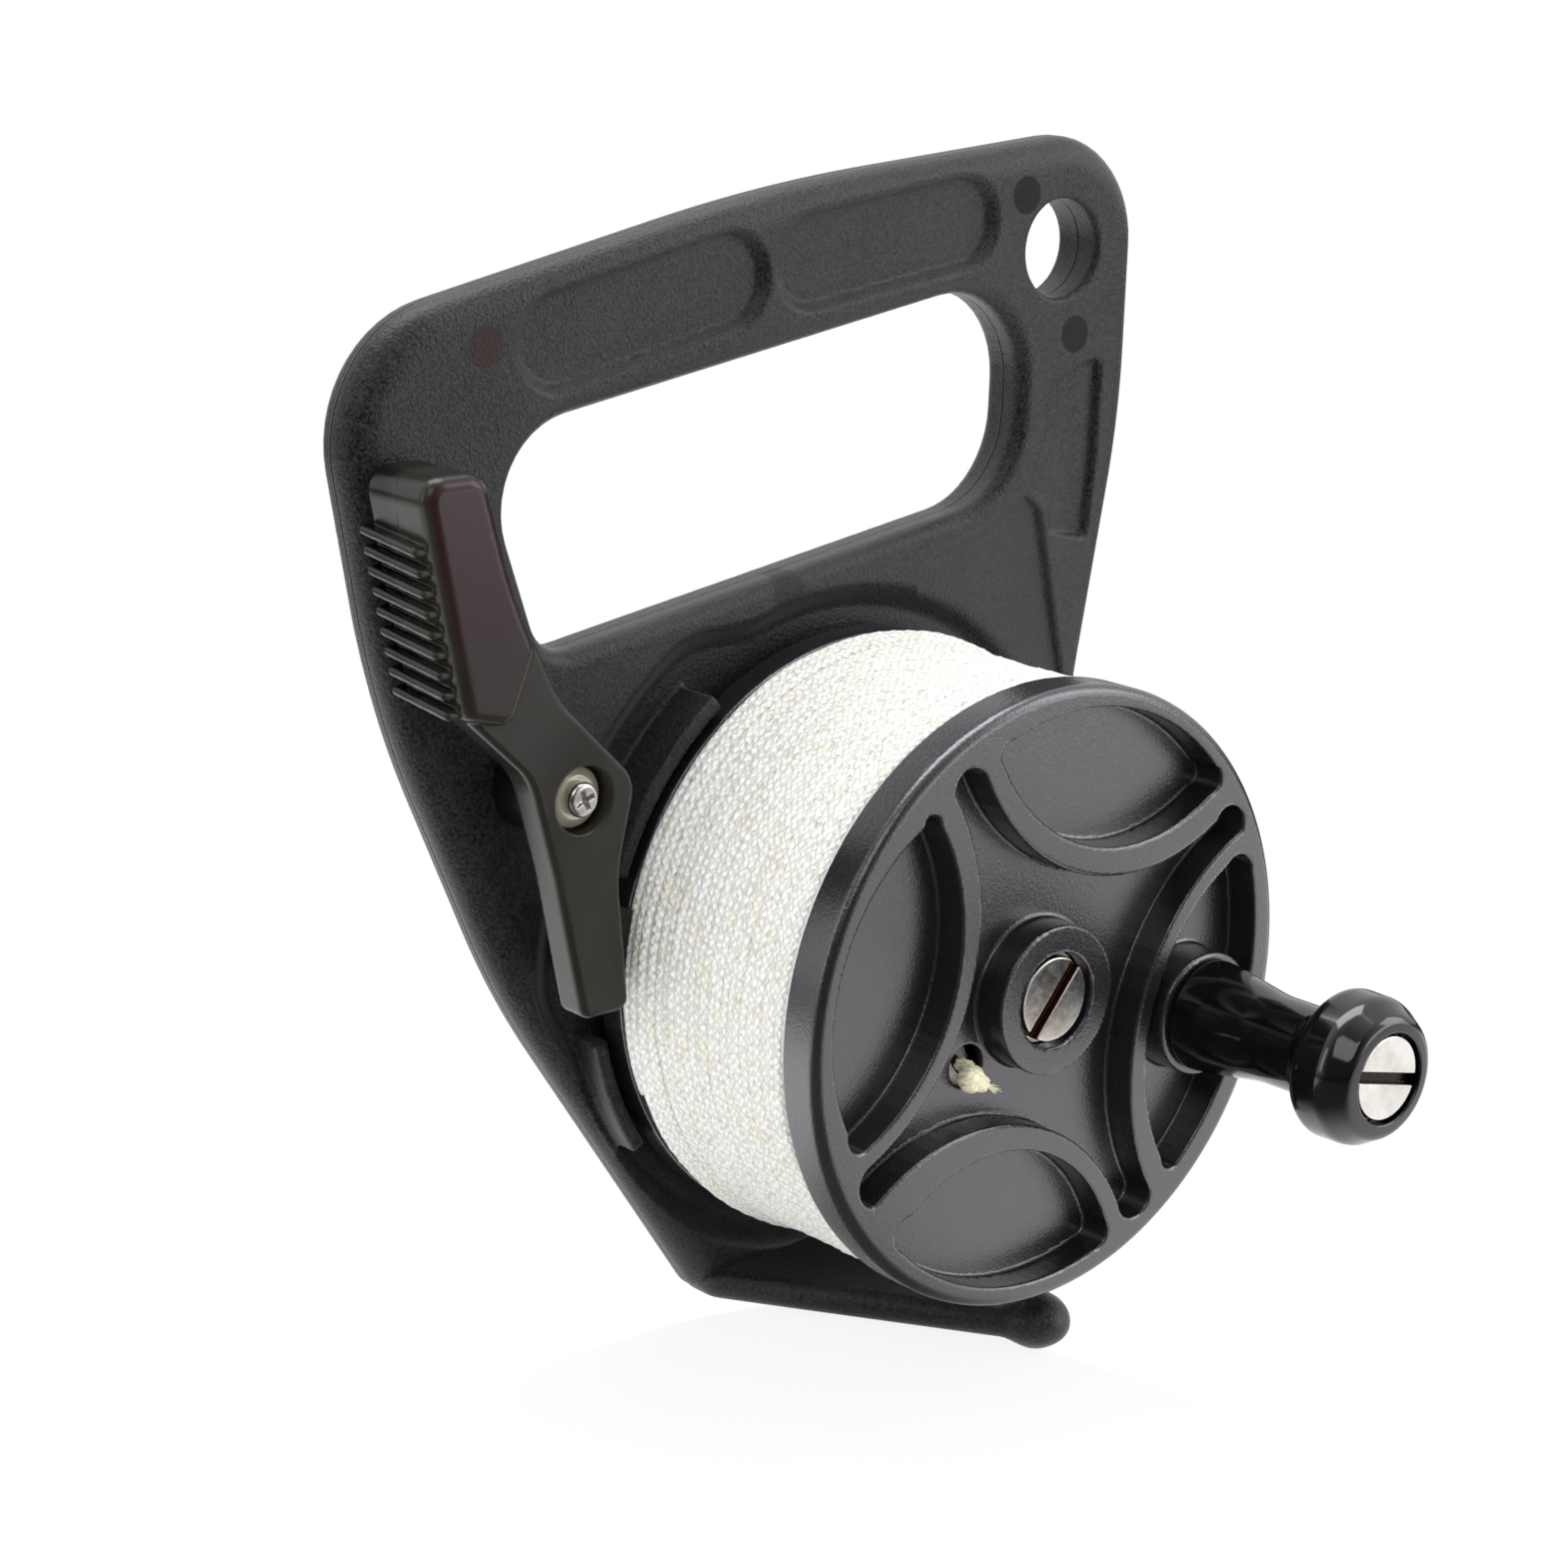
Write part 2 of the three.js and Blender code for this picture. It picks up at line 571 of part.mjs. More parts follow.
const windingInset = 0.35;
const windingDrop = 0.6;
const windingRadius = flangeRadius - windingDrop - lineDiameter / 2;
const stepsPerTurn = 24;
const coreRadius = windingRadius * Math.cos(Math.PI / stepsPerTurn) - lineDiameter / 2 - seatGap;
const bendRadius = 1.6;
const bendSteps = 3;
const windingFront = frontFlangeBack + windingInset + lineDiameter / 2;
const windingBack = rearFlangeFront - windingInset - lineDiameter / 2;
const windingStart = THREE.MathUtils.degToRad(200);
const windingEnd = windingStart + lineTurns * 2 * Math.PI;
const windingPitch = (windingBack - windingFront) / lineTurns;
const wellDepth = bendRadius + lineDiameter + seatGap;

// The outer turns as centre points: in through a bend, round the drum, and out through a bend.
function windingPoints() {
  const points = [];
  const tail = (angle, y, side) => {
    const outward = new THREE.Vector3(Math.cos(angle), 0, Math.sin(angle));
    const along = new THREE.Vector3(-Math.sin(angle), 0, Math.cos(angle)).multiplyScalar(side);
    const list = [];
    for (let i = 1; i <= bendSteps; i += 1) {
      const turn = Math.PI / 2 * i / bendSteps;
      list.push(outward.clone().multiplyScalar(windingRadius - bendRadius * (1 - Math.cos(turn)))
        .addScaledVector(along, bendRadius * Math.sin(turn)).setY(y));
    }
    const last = list[list.length - 1];
    list.push(last.clone().addScaledVector(outward, -lineDiameter));
    return list;
  };
  points.push(...tail(windingStart, windingFront, -1).reverse());
  const steps = lineTurns * stepsPerTurn;
  for (let i = 0; i <= steps; i += 1) {
    const angle = windingStart + (windingEnd - windingStart) * i / steps;
    const y = windingFront + (windingBack - windingFront) * i / steps;
    points.push(new THREE.Vector3(windingRadius * Math.cos(angle), y, windingRadius * Math.sin(angle)));
  }
  points.push(...tail(windingEnd, windingBack, 1));
  return points;
}

// A closed tube of even section along points, with flat ends square to the run.
function tubeAlong(points, radius, sides, up) {
  const position = [];
  const index = [];
  points.forEach((point, i) => {
    const before = points[Math.max(i - 1, 0)];
    const after = points[Math.min(i + 1, points.length - 1)];
    const run = after.clone().sub(before).normalize();
    const across = new THREE.Vector3().crossVectors(run, up).normalize();
    const over = new THREE.Vector3().crossVectors(across, run);
    for (let k = 0; k < sides; k += 1) {
      const angle = 2 * Math.PI * k / sides;
      const vertex = point.clone().addScaledVector(across, radius * Math.cos(angle));
      position.push(...vertex.addScaledVector(over, radius * Math.sin(angle)).toArray());
    }
  });
  for (let i = 0; i + 1 < points.length; i += 1) {
    for (let k = 0; k < sides; k += 1) {
      const [a, b] = [i * sides + k, i * sides + (k + 1) % sides];
      index.push(a, b, a + sides, b, b + sides, a + sides);
    }
  }
  const last = (points.length - 1) * sides;
  for (let k = 1; k + 1 < sides; k += 1) {
    index.push(0, k + 1, k, last, last + k, last + k + 1);
  }
  const geometry = new THREE.BufferGeometry();
  geometry.setAttribute('position', new THREE.Float32BufferAttribute(position, 3));
  geometry.setIndex(index);
  return geometry;
}

// The least distance between centre points at least half a turn apart, less one diameter.
function leastGap(points, diameter, apart) {
  let least = Infinity;
  for (let i = 0; i < points.length; i += 1) {
    for (let j = i + apart; j < points.length; j += 1) {
      least = Math.min(least, points[i].distanceTo(points[j]));
    }
  }
  return least - diameter;
}

// A slot in the core that takes the bent end of the line.
function tailWell(angle, y, side) {
  const wide = lineDiameter + 2 * seatGap;
  const long = bendRadius + lineDiameter + 2 * seatGap;
  const well = new THREE.BoxGeometry(2 * wellDepth, wide, long);
  well.translate(windingRadius, 0, side * (long / 2 - lineDiameter / 2));
  return solid(well.rotateY(-angle).translate(0, y, 0));
}

const knot = { radius: 1.75, small: 1.2, rise: 1.95, tail: 3.4, tailRadius: 0.6 };

function endKnot() {
  const { radius, small, rise, tail, tailRadius } = knot;
  const front = pocketFloor - rise;
  const { x, y: z } = lineHolePlace;
  const offset = radius - small;
  const lump = (right, y, size) => solid(new THREE.SphereGeometry(size, 9, 6)
    .translate(x + right, y, z - right));
  const stem = rod(radius / 2, front + radius, frontFlangeBack, 8, x, z);
  const frayed = new THREE.CylinderGeometry(tailRadius / 2, tailRadius, tail, 7);
  frayed.rotateZ(-2 * Math.PI / 3).translate(x + radius, front, z - radius);
  return stem.add(lump(-offset / 2, front + radius, radius)).add(lump(radius / 2, front + offset, small))
    .add(solid(frayed));
}

function lineParts() {
  const points = windingPoints();
  const gap = leastGap(points, lineDiameter, stepsPerTurn / 2);
  console.log(`least gap between the turns of the line: ${gap.toFixed(2)} mm, wanted over ${turnGap} mm`);
  const layer = solid(tubeAlong(points, lineDiameter / 2, 6, new THREE.Vector3(0, 1, 0)));
  place('line_outer_layer', layer, 'line');
  const front = frontFlangeBack + seatGap;
  const back = rearFlangeFront - seatGap;
  const core = ring(barrelRadius + seatGap, coreRadius, front, back, 2 * stepsPerTurn)
    .subtract(tailWell(windingStart, windingFront, -1))
    .subtract(tailWell(windingEnd, windingBack, 1));
  place('line_core', core, 'line');
  place('line_end_knot', endKnot(), 'knotLine');
}

// Winding knob

const knobGrip = {
  base: 7.7, waist: 6.1, neck: 6.4, ball: 10.5, ballLength: 12, endRadius: 7.6, bore: 4.1,
};
const knobWasherSize = { thickness: 0.9, radius: 6.4 };
const knobHead = {
  radius: 5.8, thickness: 1.8, slotWidth: 1.4, slotDepth: 1.1, edge: 0.3, slotDegrees: 2, sink: 0.6,
};
const knobSeatFront = rimFront - knobBoss.height;
const knobBase = knobSeatFront - knobWasherSize.thickness - 2 * seatGap;
const knobEnd = knobBase - knobLength;

function knobProfile() {
  const { base, waist, neck, ball, ballLength, endRadius, bore } = knobGrip;
  const headBack = knobEnd + knobHead.sink + knobHead.thickness;
  const ballCentre = knobEnd + ballLength / 2;
  const ballSteps = 7;
  const points = [[bore, knobBase], [base, knobBase]];
  const shaftFront = knobEnd + ballLength;
  const shaftSteps = 5;
  for (let i = 1; i <= shaftSteps; i += 1) {
    const share = i / shaftSteps;
    const radius = base + (neck - base) * share - (base - waist) * 0.5 * Math.sin(Math.PI * share);
    points.push([radius, knobBase + (shaftFront - knobBase) * share]);
  }
  for (let i = 1; i <= ballSteps; i += 1) {
    const angle = Math.PI * i / (ballSteps + 0.6);
    const radius = neck + (ball - neck) * Math.sin(angle);
    points.push([radius, ballCentre + ballLength / 2 * Math.cos(angle)]);
  }
  const headRoom = knobHead.radius + 2 * seatGap;
  points.push([endRadius, knobEnd], [headRoom, knobEnd], [headRoom, headBack + seatGap]);
  points.push([bore, headBack + seatGap], [bore, knobBase]);
  return points;
}

function knobParts() {
  const { x, y: z } = knobOffset;
  place('knob_grip', turned(knobProfile(), 26, x, z), 'knobGloss');
  const head = { ...knobHead, front: knobEnd + knobHead.sink };
  const headBack = head.front + knobHead.thickness;
  const screwBack = frontFlangeBack - seatGap;
  place('knob_screw', slottedScrew(head, knobScrewRadius, screwBack, knobHead.slotDegrees, x, z), 'nickel');
  const bore = knobScrewRadius + seatGap;
  const bushFront = headBack + seatGap;
  const bush = ring(bore, knobGrip.bore - seatGap, bushFront, knobSeatFront - seatGap, 16, x, z);
  place('knob_bush', bush, 'brass');
  const washerBack = knobSeatFront - seatGap;
  const washerFront = washerBack - knobWasherSize.thickness;
  const washer = ring(knobGrip.bore, knobWasherSize.radius, washerFront, washerBack, 20, x, z);
  place('knob_washer', washer, 'acetal');
  const nutBack = frontFlangeBack - seatGap;
  place('knob_nut', hexNut(knobNut.flats, bore, nutBack - knobNut.thickness, nutBack, x, z), 'brass');
}

// Thumb lever, brake pad and return spring

const lever = {
  plateFront: -20.5, plateBack: -15, gripFront: -22.5, hubRadius: 8, edge: 0.8, screwBack: -2.4,
  washerPocket: 4.6, washerDepth: 2.4,
};
const leverBack = plateFront - seatGap;
const leverGripShares = [
  [-1.842, 1.772, 0.07],
  [-1.758, 1.326, 1.4],
  [-1.702, 1.047, 0.047],
  [-1.535, 1, 0.047],
  [-1.437, 1.223, 0.07],
  [-1.521, 1.43, 1.4],
  [-1.609, 1.767, 0.08],
];
const leverArmShares = [
  [-1.763, 1.442, 0.047],
  [-1.702, 1.065, 0.047],
  [-1.447, 0.814, 0.21],
  [-1.363, 0.488, 0.7],
  [-1.27, 0.021, 0.04],
  [-1.091, 0.021, 0.04],
  [-1.126, 0.465, 0.465],
  [-1.051, 0.749, 0.116],
  [-1.335, 1.047, 0.28],
  [-1.544, 1.535, 0.093],
];
const thumbRibCount = 9;
const thumbRib = { height: 1.3, reach: 1.2, topShare: 0.72, bottomShare: 0.04 };
const thumbRibEnds = { top: at(-1.842, 1.772), bottom: at(-1.702, 1.047) };
const leverBush = { radius: 3.0, bore: 1.8 };
const washerSize = { thickness: 0.8, radius: 4.1 };
const pivotHead = { radius: 2.7, thickness: 1.9, crossWidth: 0.7, crossDepth: 1.1, edge: 0.6 };
const springTurns = 2;
const springSteps = 8;
const spring = { coilRadius: 4.5, legLength: 1.2, pocketRadius: 5.6 };
const springFront = lever.plateBack + seatGap;
const springBack = plateFront - seatGap - springLegRadius;
const pad = { thickness: 7.5, top: 12, bottom: 2.4, corner: 1, stemRadius: 1.6, stemLength: 3 };
const padBack = rearFlangeBack - overrun / 2;

// Ribs run front to back across the left side of the grip.
function thumbRibs(front, back) {
  const { height, reach, topShare, bottomShare } = thumbRib;
  const round = height / 2.2;
  return Array.from({ length: thumbRibCount }, (_, i) => {
    const share = bottomShare + (topShare - bottomShare) * i / (thumbRibCount - 1);
    const middle = thumbRibEnds.bottom.clone().lerp(thumbRibEnds.top, share);
    const [left, right] = [middle.x - reach, middle.x + 2 * reach];
    const [low, high] = [middle.y - height / 2, middle.y + height / 2];
    const corners = [[left, low, round], [right, low, 0], [right, high, 0], [left, high, round]];
    return slab(roundedOutline(corners), front, back, 0, 0, 1);
  });
}

// Where the pad's stem enters the lower arm.
const padStem = new THREE.Vector2(-flangeRadius - pad.thickness * 0.8, (pad.top + pad.bottom) / 2);

function thumbLever() {
  const { x, y: z } = leverPivot;
  const { plateFront: armFront, plateBack: armBack, gripFront, edge } = lever;
  let body = slab(roundedOutline(sized(leverGripShares)), gripFront, leverBack, edge, 1, 2);
  body = body.add(slab(roundedOutline(sized(leverArmShares)), armFront, armBack, edge, 1, 2));
  body = body.add(rod(lever.hubRadius, armFront + edge, leverBack, 20, x, z));
  thumbRibs(gripFront + 2 * edge, leverBack - 2 * edge).forEach((rib) => { body = body.add(rib); });
  const pocketFloor = armFront + lever.washerDepth;
  const [front, back] = [armFront - overrun, leverBack + overrun];
  body = body.subtract(rod(lever.washerPocket, front, pocketFloor, 20, x, z));
  body = body.subtract(rod(leverBush.radius + seatGap, front, back, 14, x, z));
  const springRoom = ring(leverBush.radius, spring.pocketRadius, springFront - seatGap, back, 20, x, z);
  const legFront = springFront - spring.legLength - seatGap;
  const legRoom = rod(2 * (springLegRadius + seatGap), legFront, springFront, 10, x - spring.coilRadius, z);
  body = body.subtract(springRoom).subtract(legRoom);
  const stemFront = armBack - pad.stemLength - seatGap;
  return body.subtract(rod(pad.stemRadius + seatGap, stemFront, armBack + overrun, 12, padStem.x, padStem.y));
}

// The pad's working face follows the rim of the rear flange.
function brakePad() {
  const { thickness, top, bottom, corner, stemRadius, stemLength } = pad;
  const front = lever.plateBack + seatGap;
  const left = -flangeRadius - thickness;
  const right = -flangeRadius + overrun;
  const corners = [[left, top, corner], [left, bottom, corner], [right, bottom, 0], [right, top, 0]];
  const outline = roundedOutline(corners);
  const rim = rod(flangeRadius + 1.5 * seatGap, front - overrun, padBack + overrun, 120);
  const stem = rod(stemRadius, front - seatGap - stemLength, front + seatGap, 12, padStem.x, padStem.y);
  return slab(outline, front, padBack, 0, 0, 3).subtract(rim).add(stem);
}

// A torsion spring: a short coil about the pivot, one leg into the frame and one into the lever.
function returnSpring() {
  const { coilRadius, legLength } = spring;
  const centre = new THREE.Vector3(leverPivot.x, 0, leverPivot.y);
  const total = (springTurns + 0.5) * springSteps;
  const points = [];
  const wire = springLegRadius;
  const start = springBack - wire;
  const end = springFront + 2 * wire;
  for (let i = 0; i <= total; i += 1) {
    const angle = 2 * Math.PI * i / springSteps;
    const y = start + (end - start) * i / total;
    const out = new THREE.Vector3(Math.cos(angle), 0, Math.sin(angle)).multiplyScalar(coilRadius);
    points.push(centre.clone().add(out.setY(y)));
  }
  const first = points[0].clone();
  const last = points[points.length - 1].clone();
  points.unshift(first.clone().setY(plateFront + legLength), first.clone().setY(first.y + wire));
  points.push(last.clone().setY(last.y - wire), last.clone().setY(springFront - legLength));
  return solid(tubeAlong(points, wire, 5, new THREE.Vector3(1, 0.01, 0.3)));
}

function leverParts() {
  const { x, y: z } = leverPivot;
  place('thumb_lever', thumbLever(), 'leverNylon');
  place('brake_pad', brakePad(), 'rubber');
  const pocketFloor = lever.plateFront + lever.washerDepth;
  const washerBack = pocketFloor - seatGap;
  const washerFront = washerBack - washerSize.thickness;
  const bore = leverBush.bore;
  place('lever_washer', ring(bore, washerSize.radius, washerFront, washerBack, 20, x, z), 'acetal');
  place('lever_bush', ring(bore, leverBush.radius, pocketFloor, plateFront - seatGap, 14, x, z), 'steel');
  const headBack = washerFront - seatGap;
  const headFront = headBack - pivotHead.thickness;
  const { radius, edge, crossWidth, crossDepth } = pivotHead;
  let screw = turned([
    [0, headFront], [radius - edge, headFront], [radius, headFront + edge], [radius, headBack],
    [pivotBoreRadius, headBack], [pivotBoreRadius, lever.screwBack], [0, lever.screwBack],
  ], 20, x, z);
  [0, Math.PI / 2].forEach((turn) => {
    const cross = new THREE.BoxGeometry(1.3 * radius, 2 * crossDepth, crossWidth);
    screw = screw.subtract(solid(cross.rotateY(turn + Math.PI / 5).translate(x, headFront, z)));
  });
  place('lever_screw', screw, 'nickel');
  place('lever_spring', returnSpring(), 'steel');
}

place('handle_frame', handleFrame(), 'frameNylon');
axleParts();
spoolParts();
lineParts();
knobParts();
leverParts();

const diveReel = new THREE.Group();
diveReel.add(reel);
export default diveReel;
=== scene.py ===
import math

import bpy
import numpy as np
from mathutils import Matrix


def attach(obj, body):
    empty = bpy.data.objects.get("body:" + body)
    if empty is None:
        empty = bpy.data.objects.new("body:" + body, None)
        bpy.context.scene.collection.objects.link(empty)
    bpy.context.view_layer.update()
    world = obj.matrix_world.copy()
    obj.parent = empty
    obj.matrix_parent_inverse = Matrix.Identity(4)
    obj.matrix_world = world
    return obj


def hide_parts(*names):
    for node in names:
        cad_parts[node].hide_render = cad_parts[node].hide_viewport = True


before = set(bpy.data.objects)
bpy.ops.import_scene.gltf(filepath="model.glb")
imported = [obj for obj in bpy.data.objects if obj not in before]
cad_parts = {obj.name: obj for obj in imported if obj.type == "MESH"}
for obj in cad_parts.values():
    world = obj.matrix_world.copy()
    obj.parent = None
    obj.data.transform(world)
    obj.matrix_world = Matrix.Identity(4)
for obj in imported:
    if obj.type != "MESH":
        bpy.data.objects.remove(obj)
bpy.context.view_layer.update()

# A dive reel: a spool of braided line on a moulded handle frame, with a thumb brake.
# Sizes are in millimetres until a mesh is made. Outlines are drawn in X and Z about the
# spool's axis, which runs along Y at AXIS_UP above the origin.

MM = 0.001
AXIS_UP = 30.0

FLANGE_RADIUS = 43.0
PLATE_FRONT = -8.4
PLATE_MIDDLE = -4.2
FLOOR_FRONT = -5.6
REAR_FLANGE_BACK = -7.8
REAR_FLANGE_FRONT = -13.4
FRONT_FLANGE_BACK = -46.6
RIM_FRONT = -53.0
POCKET_FLOOR = -48.2
KNOB_SEAT = -54.2
TUBE_SPLIT = -30.0
KNOB_PLACE = np.array([0.656, -0.193]) * FLANGE_RADIUS
LEVER_PIVOT = np.array([-1.256, 0.721]) * FLANGE_RADIUS
LINE_HOLE = np.array([-0.281, -0.181]) * FLANGE_RADIUS
SEAT_GAP = 0.3

# How much coarser the cells of the distance fields are while the looks are tried out.
COARSE = 1.0

# Outlines as corners (x, z, rounding), in shares of the flange's radius.

FRAME_OUTLINE_SHARES = [
    (-1.925, 2.13, 0.42), (-1.745, 1.0, 2.8), (-1.335, 0.0, 2.8), (-0.565, -1.21, 0.115),
    (0.49, -1.21, 0.115), (0.73, -0.84, 0.7), (1.01, -0.28, 1.4), (1.145, 0.63, 2.8),
    (1.34, 1.535, 2.8), (1.38, 2.535, 0.37), (-0.23, 2.44, 7.0),
]
GRIP_OUTLINE_SHARES = [
    (-1.395, 1.775, 0.28), (-1.175, 1.08, 0.14), (0.80, 1.335, 0.325), (0.835, 2.08, 0.325),
]
STRIP_POCKET_SHARES = [
    (1.184, 1.758, 0.028), (1.091, 1.74, 0.047), (0.955, 1.70, 0.035), (0.94, 1.54, 0.14),
    (0.868, 1.36, 0.035), (0.949, 1.28, 0.047), (0.965, 1.186, 0.023), (1.13, 1.144, 0.02),
    (1.165, 1.419, 0.5),
]
CORNER_POCKET_SHARES = [
    (0.842, 1.321, 0.02), (0.905, 1.265, 0.04), (1.075, 0.44, 0.0), (0.372, 0.44, 0.0),
    (0.372, 1.185, 0.12), (0.6, 1.22, 0.2), (0.75, 1.285, 0.1),
]
LEVER_GRIP_SHARES = [
    (-1.842, 1.772, 0.07), (-1.758, 1.326, 1.4), (-1.702, 1.047, 0.047), (-1.535, 1.0, 0.047),
    (-1.437, 1.223, 0.07), (-1.521, 1.43, 1.4), (-1.609, 1.767, 0.08),
]
LEVER_ARM_SHARES = [
    (-1.763, 1.442, 0.047), (-1.702, 1.065, 0.047), (-1.447, 0.814, 0.21), (-1.363, 0.488, 0.7),
    (-1.27, 0.021, 0.04), (-1.091, 0.021, 0.04), (-1.126, 0.465, 0.465), (-1.051, 0.749, 0.116),
    (-1.335, 1.047, 0.28), (-1.544, 1.535, 0.093),
]


# Outlines and distances

def rounded_outline(corners, steps):
    """Closed outline through corners (x, z, radius): each corner is replaced by an arc that
    touches both of its sides, no further along them than half their length."""
    corners = np.asarray(corners, float)
    points, radius = corners[:, :2], corners[:, 2]
    before = np.roll(points, 1, 0) - points
    after = np.roll(points, -1, 0) - points
    reach = np.minimum(np.hypot(*before.T), np.hypot(*after.T)) / 2
    before /= np.hypot(*before.T)[:, None]
    after /= np.hypot(*after.T)[:, None]
    half = np.arccos(np.clip((before * after).sum(1), -1, 1)) / 2
    reach = np.minimum(radius / np.tan(half), reach)
    arc = reach * np.tan(half)
    inward = before + after
    inward /= np.hypot(*inward.T)[:, None]
    centre = points + inward * (arc / np.sin(half))[:, None]
    start = points + before * reach[:, None] - centre
    end = points + after * reach[:, None] - centre
    sweep = np.arctan2(start[:, 0] * end[:, 1] - start[:, 1] * end[:, 0], (start * end).sum(1))
    first = np.arctan2(start[:, 1], start[:, 0])
    angle = first[:, None] + sweep[:, None] * np.linspace(0, 1, steps)
    ring = np.stack([np.cos(angle), np.sin(angle)], 2) * arc[:, None, None] + centre[:, None]
    return ring.reshape(-1, 2)


def outline_distance(outline, x, z):
    """Signed distance from (x, z) to a closed outline, negative inside: the least distance to
    a side, with the sign turned by each side that a ray to the right crosses."""
    x, z = np.broadcast_arrays(x, z)
    place = np.stack([x.ravel(), z.ravel()], 1)
    run = np.roll(outline, -1, 0) - outline
    length = (run ** 2).sum(1)
    keep = length > 1e-12
    start, run, length = outline[keep], run[keep], length[keep]
    found = np.empty(len(place))
    batches = len(place) * len(start) // 3_000_000 + 1
    for part in np.array_split(np.arange(len(place)), batches):
        off = place[part, None] - start
        share = np.clip((off * run).sum(2) / length, 0, 1)
        least = ((off - share[..., None] * run) ** 2).sum(2).min(1)
        above, ends_above = off[..., 1] < 0, off[..., 1] < run[:, 1]
        side = off[..., 0] * run[:, 1] - off[..., 1] * run[:, 0]
        crossed = (above != ends_above) & ((side < 0) == (run[:, 1] > 0))
        odd = crossed.sum(1) % 2 == 1
        found[part] = np.where(odd, -1, 1) * np.sqrt(least)
    return found.reshape(x.shape)


def outline_reader(outline, margin=3.0):
    """The signed distance to an outline as a function of place: worked out once on a flat grid
    of places, then read as the blend of the grid's four nearest values."""
    step = 0.25
    low, high = outline.min(0) - margin, outline.max(0) + margin
    across, along = [np.arange(a, b + step, step) for a, b in zip(low, high)]
    table = outline_distance(outline, across[:, None], along[None])

    def read(x, z):
        u = np.clip((x - low[0]) / step, 0, len(across) - 1.001)
        v = np.clip((z - low[1]) / step, 0, len(along) - 1.001)
        i, j = u.astype(int), v.astype(int)
        near = table[i, j] + (table[i, j + 1] - table[i, j]) * (v - j)
        far = table[i + 1, j] + (table[i + 1, j + 1] - table[i + 1, j]) * (v - j)
        return near + (far - near) * (u - i)
    return read


def rounded_reader(shares, steps=10, margin=3.0):
    """The distance to a rounded outline whose corners are shares of the flange's radius."""
    return outline_reader(rounded_outline(np.array(shares) * FLANGE_RADIUS, steps), margin)


def slot_distance(start, end, x, z):
    """Distance from (x, z) to the straight line between two points."""
    run = np.subtract(end, start)
    share = ((x - start[0]) * run[0] + (z - start[1]) * run[1]) / (run @ run)
    share = np.clip(share, 0, 1)
    return np.hypot(x - start[0] - share * run[0], z - start[1] - share * run[1])


def off_line(place, x, z):
    """Distance from (x, z) to the line along Y through a place."""
    return np.hypot(x - place[0], z - place[1])


def ball(middle, radius, x, y, z):
    """Signed distance to a ball."""
    return np.sqrt((x - middle[0]) ** 2 + (y - middle[1]) ** 2 + (z - middle[2]) ** 2) - radius


def arc_line(a, b, c, steps):
    """Points along the arc from a through b to c, about the centre of the circle through them."""
    ab, ac = np.subtract(b, a), np.subtract(c, a)
    double = 2 * (ab[0] * ac[1] - ab[1] * ac[0])
    x = (ac[1] * (ab @ ab) - ab[1] * (ac @ ac)) / double
    z = (ab[0] * (ac @ ac) - ac[0] * (ab @ ab)) / double
    centre, radius = np.array([a[0] + x, a[1] + z]), math.hypot(x, z)
    angles = [math.atan2(p[1] - centre[1], p[0] - centre[0]) for p in (a, b, c)]
    to_b = (angles[1] - angles[0]) % (2 * math.pi)
    to_c = (angles[2] - angles[0]) % (2 * math.pi)
    sweep = to_c if to_b < to_c else to_c - 2 * math.pi
    angle = angles[0] + sweep * np.linspace(0, 1, steps)
    return centre + radius * np.stack([np.cos(angle), np.sin(angle)], 1)


def between(value, low, high):
    """Signed distance to the layer from low to high."""
    return np.abs(value - (low + high) / 2) - (high - low) / 2


def both(a, b, round_by=0.0):
    """Where two solids overlap, with the edge between them rounded."""
    if round_by == 0:
        return np.maximum(a, b)
    a, b = a + round_by, b + round_by
    outside = np.hypot(np.maximum(a, 0), np.maximum(b, 0))
    return outside + np.minimum(np.maximum(a, b), 0) - round_by


def cut(a, b, round_by=0.0):
    """Solid a with solid b taken away, with the mouth rounded."""
    return both(a, -b, round_by)


def smooth_step(value, low, high):
    """A share that rises from 0 at low to 1 at high, level at both ends: 3 t^2 - 2 t^3."""
    t = np.clip((value - low) / (high - low), 0, 1)
    return t * t * (3 - 2 * t)


def joined(a, b, blend=0.0):
    """Two solids as one, with a hollow fillet between them."""
    return -both(-a, -b, blend)


# Meshes

